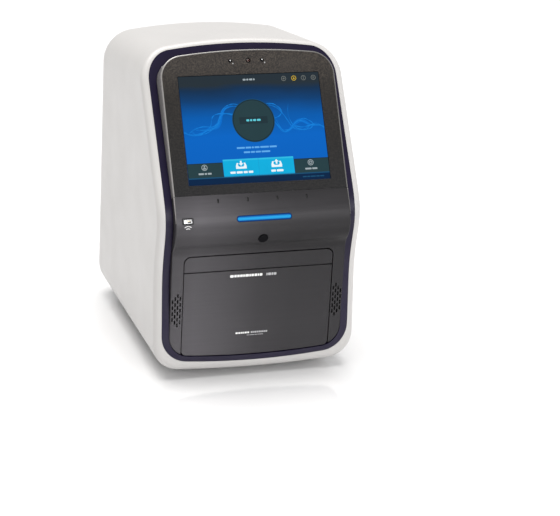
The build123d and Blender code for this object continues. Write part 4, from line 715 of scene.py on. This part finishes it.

# ---------------------------------------------------------------- screen surround
# Camera and the two sensors beside it, with an indicator beside each sensor; a white painted glint sits on
# each sensor's lens and a grey painted reflection ring on the camera's lens.
lenses = Piece()
for x, radius in ((CAMERA_X, 3.9), (SENSOR_X[0], 3.0), (SENSOR_X[1], 3.0)):
    inner = radius * 0.78
    rim = [(radius, -0.5), (radius, -0.12), (radius - 0.35, 0.0), (inner, -0.42), (inner, -0.5)]
    lenses.turned(SCREEN, rim, FINISHES["lens_black"], x, SENSOR_S)
    lens = LENS_BROWN if x == CAMERA_X else FINISHES["lens_black"]
    lenses.dome(SCREEN, radius * 0.7, radius * 0.12, lens, x, SENSOR_S, -0.55)
for x in SENSOR_X:
    # Painted glint: a small white dot on each sensor's lens.
    lenses.dome(SCREEN, 1.0, 0.2, WHITE_PRINT_AND_GLINT, x + 0.3, SENSOR_S + 0.9, -0.2)
    lenses.dome(SCREEN, 0.95, 0.12, GREY_PRINT_AND_GLINT, x + 4.2, SENSOR_S - 4.6, 0.0)
# Painted reflection: a small grey ring on the camera's lens.
lenses.turned(SCREEN, [(0.9, -0.2), (1.15, -0.2), (1.15, -0.08), (0.9, -0.08)], GREY_PRINT_AND_GLINT,
              CAMERA_X - 0.9, SENSOR_S + 1.1, 20)
lenses.done("lens_rims_and_glints", "chassis")

# Black film with rows of small dots in the microphone slots, which keeps the slots dark.
slot_film = Piece()
for x in MICROPHONE_X:
    slot_film.slab(SCREEN, stadium(x, MICROPHONE_S, 1.5, 1.85), -2.0, -1.5, FINISHES["rubber"], 0.1)
    for k in range(5):
        slot_film.turned(SCREEN, [(0.22, -1.55), (0.34, -1.55), (0.34, -1.44), (0.22, -1.44)],
                         FINISHES["motor_black"], x, MICROPHONE_S - 2.6 + 1.3 * k, 10)
slot_film.done("microphone_slot_film", "chassis")

# Thin satin metal strip along the fascia's side from the nose up to the seam: a rounded edge in lighter metal
# than the fascia, painting the highlight on that edge.
EDGE_FOOT = 286.0
EDGE_STEPS = 24
SLOPE_START = NOSE_Z + NOSE_RADIUS * sin(LEAN)          # height at which the nose runs into the slope
for side, name in ((-1, "left"), (1, "right")):
    edge = Piece()
    rings = []
    for i in range(EDGE_STEPS + 1):
        z = EDGE_FOOT + (SEAM_Z - 0.6 - EDGE_FOOT) * i / EDGE_STEPS
        width = 0.5 + 1.3 * (i / EDGE_STEPS) ** 0.7
        if z <= SLOPE_START:
            y = on_nose(0, z).y
            out = Vector((0, y - (NOSE_Y + NOSE_RADIUS), z - NOSE_Z)).normalized()
        else:
            y = SEAM_Y + (z - SEAM_Z) * sin(LEAN) / cos(LEAN)
            out = Vector(OFF_SLOPE)
        x_out, x_in = side * (FASCIA_HALF + 0.02), side * (FASCIA_HALF - width)
        rings.append([Vector((x, y, z)) + out * lift for x, lift in (
            (x_out, -2.2), (x_in, -0.6), (x_in, 0.06), (x_out - side * 0.8, 0.05), (x_out, -0.8))])
    edge.rows(rings, FINISHES["silver_edge"])
    edge.done("fascia_edge_highlight_" + name, "chassis")

# Painted glow: a soft blue halo of spilled light painted on the fascia round the light bar.
RIM_STEPS = 72
glow = Piece()
for near, far, lift, material in ((0.05, 1.0, 0.14, HALO_NEAR), (0.95, 2.1, 0.08, HALO_FAR)):
    rings = []
    for i in range(RIM_STEPS + 1):
        angle = 2 * pi * (i % RIM_STEPS) / RIM_STEPS
        across = (BAR_LENGTH - BAR_HEIGHT) / 2 * (1 if cos(angle) >= 0 else -1)
        ring = []
        for reach, raised in ((near, 0.0), (far, 0.0), (far, lift), (near, lift)):
            radius = BAR_HEIGHT / 2 + reach
            ring.append(on_nose(across + radius * cos(angle), BAR_Z + radius * sin(angle), raised - 0.05))
        rings.append(ring)
    glow.rows(rings, material, caps=False)
glow.done("light_bar_painted_glow", "chassis")

# Plain rows of bars on the drawer's front, in place of lettering.
drawer_marks = Piece()
DRAWER = plane((0, DRAWER_Y, 0), (1, 0, 0), (0, 0, 1))
for left, z, height, lift, widths, shade in (
        (-50.0, 181.0, 4.6, 0.06, [6.4, 4.4, 4.2, 4.6, 3.0, 6.2, 2.8, 4.6, 5.0, 2.2, 5.2], WHITE_PRINT_AND_GLINT),
        (13.6, 181.0, 4.6, 0.06, [2.0, 5.4, 3.2, 4.6], GREY_PRINT_AND_GLINT),
        (-36.0, 77.0, 3.2, 0.05, [4.2, 3.6, 3.4, 2.0, 3.6, 3.4], WHITE_PRINT_AND_GLINT),
        (-9.0, 77.0, 3.2, 0.05, [3.4, 1.6, 3.4, 2.8, 3.4, 3.2, 2.6, 3.2], GREY_PRINT_AND_GLINT),
        (-16.0, 72.2, 0.9, 0.05, [5.4, 7.2, 4.4, 9.6], GREY_PRINT_AND_GLINT)):
    for middle, width in row_of_bars(widths, 0.8, left):
        outline = rectangle(middle, z, width, height, min(width, height) * 0.35)
        drawer_marks.slab(DRAWER, outline, -0.05, lift, shade)
drawer_marks.done("drawer_marks", "drawer")

# Contact symbol under the front socket: two plain arcs.
symbol = Piece()
for radius in (4.6, 8.4):
    rings = []
    for i in range(21):
        angle = radians(48 + 84 * i / 20)
        ring = []
        for half, raised in ((-0.55, -0.05), (0.55, -0.05), (0.55, 0.05), (-0.55, 0.05)):
            r = radius + half
            ring.append(on_nose(USB_X + r * cos(angle), SYMBOL_Z + r * sin(angle), raised))
        rings.append(ring)
    symbol.rows(rings, WHITE_PRINT_AND_GLINT, smooth=False)
symbol.done("socket_symbol", "chassis")

# ---------------------------------------------------------------- sockets
NOSE_UP = Vector((0, on_nose(0, USB_Z + 0.5).y - on_nose(0, USB_Z - 0.5).y, 1.0))
FRONT_USB = plane(on_nose(USB_X, USB_Z), (1, 0, 0), NOSE_UP)
BACK = plane((0, PANEL_OUT, 0), (-1, 0, 0), (0, 0, 1))


def usb_tongue(piece, place, u, v, depth):
    """Contact tongue of one socket."""
    piece.slab(place, rectangle(u, v + 1.1, 10.6, 1.7, 0.4), -depth, -1.0, IVORY, 0.3)
    for k in range(4):
        piece.slab(place, rectangle(u + (k - 1.5) * 2.2, v + 0.15, 1.1, 0.3), -depth + 0.4, -1.8, GOLD)


front_tongue = Piece()
usb_tongue(front_tongue, FRONT_USB, 0, 0, 12)
front_tongue.done("usb_tongue_front", "chassis")

# Tongues of the two rear USB sockets, contacts and two indicators of the network socket.
contacts = Piece()
for offset in (3.9, -3.9):
    usb_tongue(contacts, BACK, -76, PORT_Z + offset - 0.9, 10)
for k in range(8):
    u = -46 + (k - 3.5) * 1.02
    contacts.tube([BACK @ Vector((u, PORT_Z - 4.2, -11.0)), BACK @ Vector((u, PORT_Z - 2.6, -8.0)),
                   BACK @ Vector((u, PORT_Z + 0.2, -3.0))], 0.22, GOLD, 6)
for u, lit in ((-52.6, (0.05, 0.5, 0.08)), (-39.4, (0.7, 0.4, 0.02))):
    contacts.slab(BACK, rectangle(u, PORT_Z + 5.0, 2.2, 1.5, 0.3), -1.2, PORT_FACE + 0.1,
                  glowing("port_led_" + ("green" if u < -45 else "amber"), lit, 0.4), 0.2)
contacts.done("port_contacts", "chassis")

# ---------------------------------------------------------------- rear labels and marks
# Plate with rows of plain bars and a row of stripes.
LABEL_U = 4.0
labels = Piece()
labels.slab(BACK, rectangle(LABEL_U, 80, 46, 30, 1.5), 0.0, 0.12, WHITE_PRINT_AND_GLINT)
for row, widths in enumerate(([12, 9, 14], [18, 8, 10], [9, 15], [14, 6, 12], [10, 12])):
    for middle, width in row_of_bars(widths, 1.5, LABEL_U - 15):
        labels.slab(BACK, rectangle(middle, 90.5 - row * 3.6, width, 1.3, 0.3), 0.1, 0.2, DARK_PRINT)
for k in range(26):
    width = 0.45 + 0.35 * ((k * 7) % 4) / 3
    labels.slab(BACK, rectangle(LABEL_U - 13 + 1.05 * k, 69.8, width, 5.2), 0.1, 0.2, DARK_PRINT)

# Captions over the mains inlet, its switch, the network socket and the USB sockets.
for u, widths in ((80, [6, 9]), (46, [8]), (-46, [5, 6]), (-76, [7])):
    for middle, width in row_of_bars(widths, 1.2, middle=u):
        labels.slab(BACK, rectangle(middle, PORT_Z + 17.5, width, 1.6, 0.4), 0.0, 0.1, DARK_PRINT)
labels.done("rear_labels", "chassis")

# Labels on the hubs of the fans' frames.
for side, name in ((-1, "left"), (1, "right")):
    hub = Piece()
    face = plane((side * FAN_X, HUB_FACE_Y, FAN_Z), (-1, 0, 0), (0, 0, 1))
    hub.slab(face, circle(0, 0, 14.5), -0.05, 0.06, FINISHES["painted_panel"])
    hub.turned(face, [(12.6, 0.0), (13.3, 0.0), (13.3, 0.12), (12.6, 0.12)], DARK_PRINT)
    for row, width in enumerate((13, 17, 10)):
        hub.slab(face, rectangle(0, 4.5 - row * 4.2, width, 1.6, 0.5), 0.0, 0.12, DARK_PRINT)
    hub.done("fan_label_" + name, "chassis")

# ---------------------------------------------------------------- sample block
TOP = plane((0, BLOCK_Y, FRAME_TOP), (1, 0, 0), (0, 1, 0))
WELLS = plane((0, BLOCK_Y, BLOCK_TOP), (1, 0, 0), (0, 1, 0))

# Rims of the 96 wells.
rims = Piece()
for i in range(12):
    for j in range(8):
        rims.turned(WELLS, [(3.12, -0.3), (3.75, -0.05), (3.6, 0.45), (3.25, 0.45)], FINISHES["well_block"],
                    (i - 5.5) * WELL_PITCH, (j - 3.5) * WELL_PITCH, 20)
rims.done("well_rims", "drawer")

# Two ivory bars beside the plate's nest.
bars = Piece()
for side in (-1, 1):
    arc = [(side * 71.5 + 2.6 * cos(pi * i / 12), 0.2 + 2.2 * sin(pi * i / 12)) for i in range(13)]
    bars.rows([[TOP @ Vector((u, v, height)) for u, height in arc] for v in (-27, 27)], IVORY)
bars.done("block_bars", "drawer", 0.3)

# Three plain triangles on the block's frame.
marks_on_block = Piece()
for u, v in ((-44, -52.5), (44, -52.5), (0, 52.0)):
    corners = [TOP @ Vector((u + a, v + b, 0.02)) for a, b in ((-4.2, -2.6), (4.2, -2.6), (0, 4.4))]
    for k in range(3):
        marks_on_block.tube([corners[k], corners[(k + 1) % 3]], 0.45, WHITE_PRINT_AND_GLINT, 8)
marks_on_block.done("block_marks", "drawer")

# Insert and contacts of the block's connector.
SOCKET = plane((0, 74.0, 153), (-1, 0, 0), (0, 0, 1))
insert = Piece()
insert.slab(SOCKET, rectangle(0, 0, 50, 9, 2), -17, -7, ORANGE, 0.6)
for row in (-2.0, 2.0):
    for k in range(18):
        insert.slab(SOCKET, rectangle((k - 8.5) * 2.5, row, 1.2, 1.2, 0.2), -8, -5.5, GOLD, 0.2)
insert.done("connector_insert", "drawer")

# Cap of the thumbscrew at the block's front.
knob = Piece()
KNOB = plane((0, BLOCK_Y - 78, FRAME_TOP + 4), (1, 0, 0), (0, 1, 0))
knob.turned(KNOB, [(0.8, -0.4), (4.9, -0.4), (4.9, 0.2), (4.2, 0.55), (0.8, 0.55)], FINISHES["screw_steel"])
knob.done("thumbscrew_cap", "drawer")

# ---------------------------------------------------------------- studio
FLOOR_HALF = 9000
FLOOR_STEPS = 24
floor = Piece()
lines = [-FLOOR_HALF + 2 * FLOOR_HALF * i / FLOOR_STEPS for i in range(FLOOR_STEPS + 1)]
grid = [[(x, y, 0.0) for x in lines] for y in lines]
floor_paint = Finish("studio_floor", Metallic=0.16, Roughness=0.08)
drift = floor_paint.spread(floor_paint.noise(1.2, 2), 0, 1)
floor_paint.colour(floor_paint.mixed(drift, (0.88, 0.88, 0.885, 1), (0.89, 0.89, 0.895, 1)))
floor_paint.roughness(floor_paint.spread(floor_paint.noise(3, 2), 0.08, 0.13))
floor.rows(grid, floor_paint.material, closed=False, caps=False)
floor.linked("studio_floor")


def light(name, kind, energy):
    """New light in the scene, as its object."""
    data = bpy.data.lights.new(name, kind)
    data.energy = energy
    made = bpy.data.objects.new(name, data)
    bpy.context.scene.collection.objects.link(made)
    return made


# A broad, slightly warm sun from above, and a large soft lamp in front.
overhead = light("overhead", "SUN", 3.5)
overhead.data.angle = radians(50)
overhead.data.color = (1.0, 0.985, 0.97)
overhead.rotation_euler = (radians(-10), radians(-4), 0)

LAMP_PLACE = Vector((0.9, -3.2, 1.1))
LAMP_TARGET = Vector((0, -0.2, 0.3))
front = light("front", "AREA", 45)
front.data.shape = "RECTANGLE"
front.data.size, front.data.size_y = 2.0, 1.4
front.location = LAMP_PLACE
front.rotation_euler = (LAMP_TARGET - LAMP_PLACE).to_track_quat("-Z", "Y").to_euler()

world = bpy.data.worlds.new("studio_world")
bpy.context.scene.world = world
world.use_nodes = True
world.node_tree.nodes["Background"].inputs["Color"].default_value = (1.0, 1.0, 1.0, 1)
world.node_tree.nodes["Background"].inputs["Strength"].default_value = 0.60
bpy.context.scene.view_settings.view_transform = "Standard"

# Camera, at the viewing angle of the reference: azimuth -19.0, elevation 20.8, with a slight roll.
AZIMUTH, ELEVATION, ROLL = radians(-19.012), radians(20.790), radians(3.153)
CAMERA_PLACE = (-1.0070, -3.2382, 1.4239)
camera_data = bpy.data.cameras.new("camera")
camera_data.lens = 131.32
camera_data.sensor_width = 36
camera = bpy.data.objects.new("camera", camera_data)
bpy.context.scene.collection.objects.link(camera)
back = Vector((sin(AZIMUTH) * cos(ELEVATION), -cos(AZIMUTH) * cos(ELEVATION), sin(ELEVATION)))
level = Vector((cos(AZIMUTH), sin(AZIMUTH), 0))
upward = back.cross(level)
right = level * cos(ROLL) + upward * sin(ROLL)
top = upward * cos(ROLL) - level * sin(ROLL)
camera.matrix_world = Matrix([(right[i], top[i], back[i], CAMERA_PLACE[i]) for i in range(3)]
                             + [(0, 0, 0, 1)])
bpy.context.scene.camera = camera
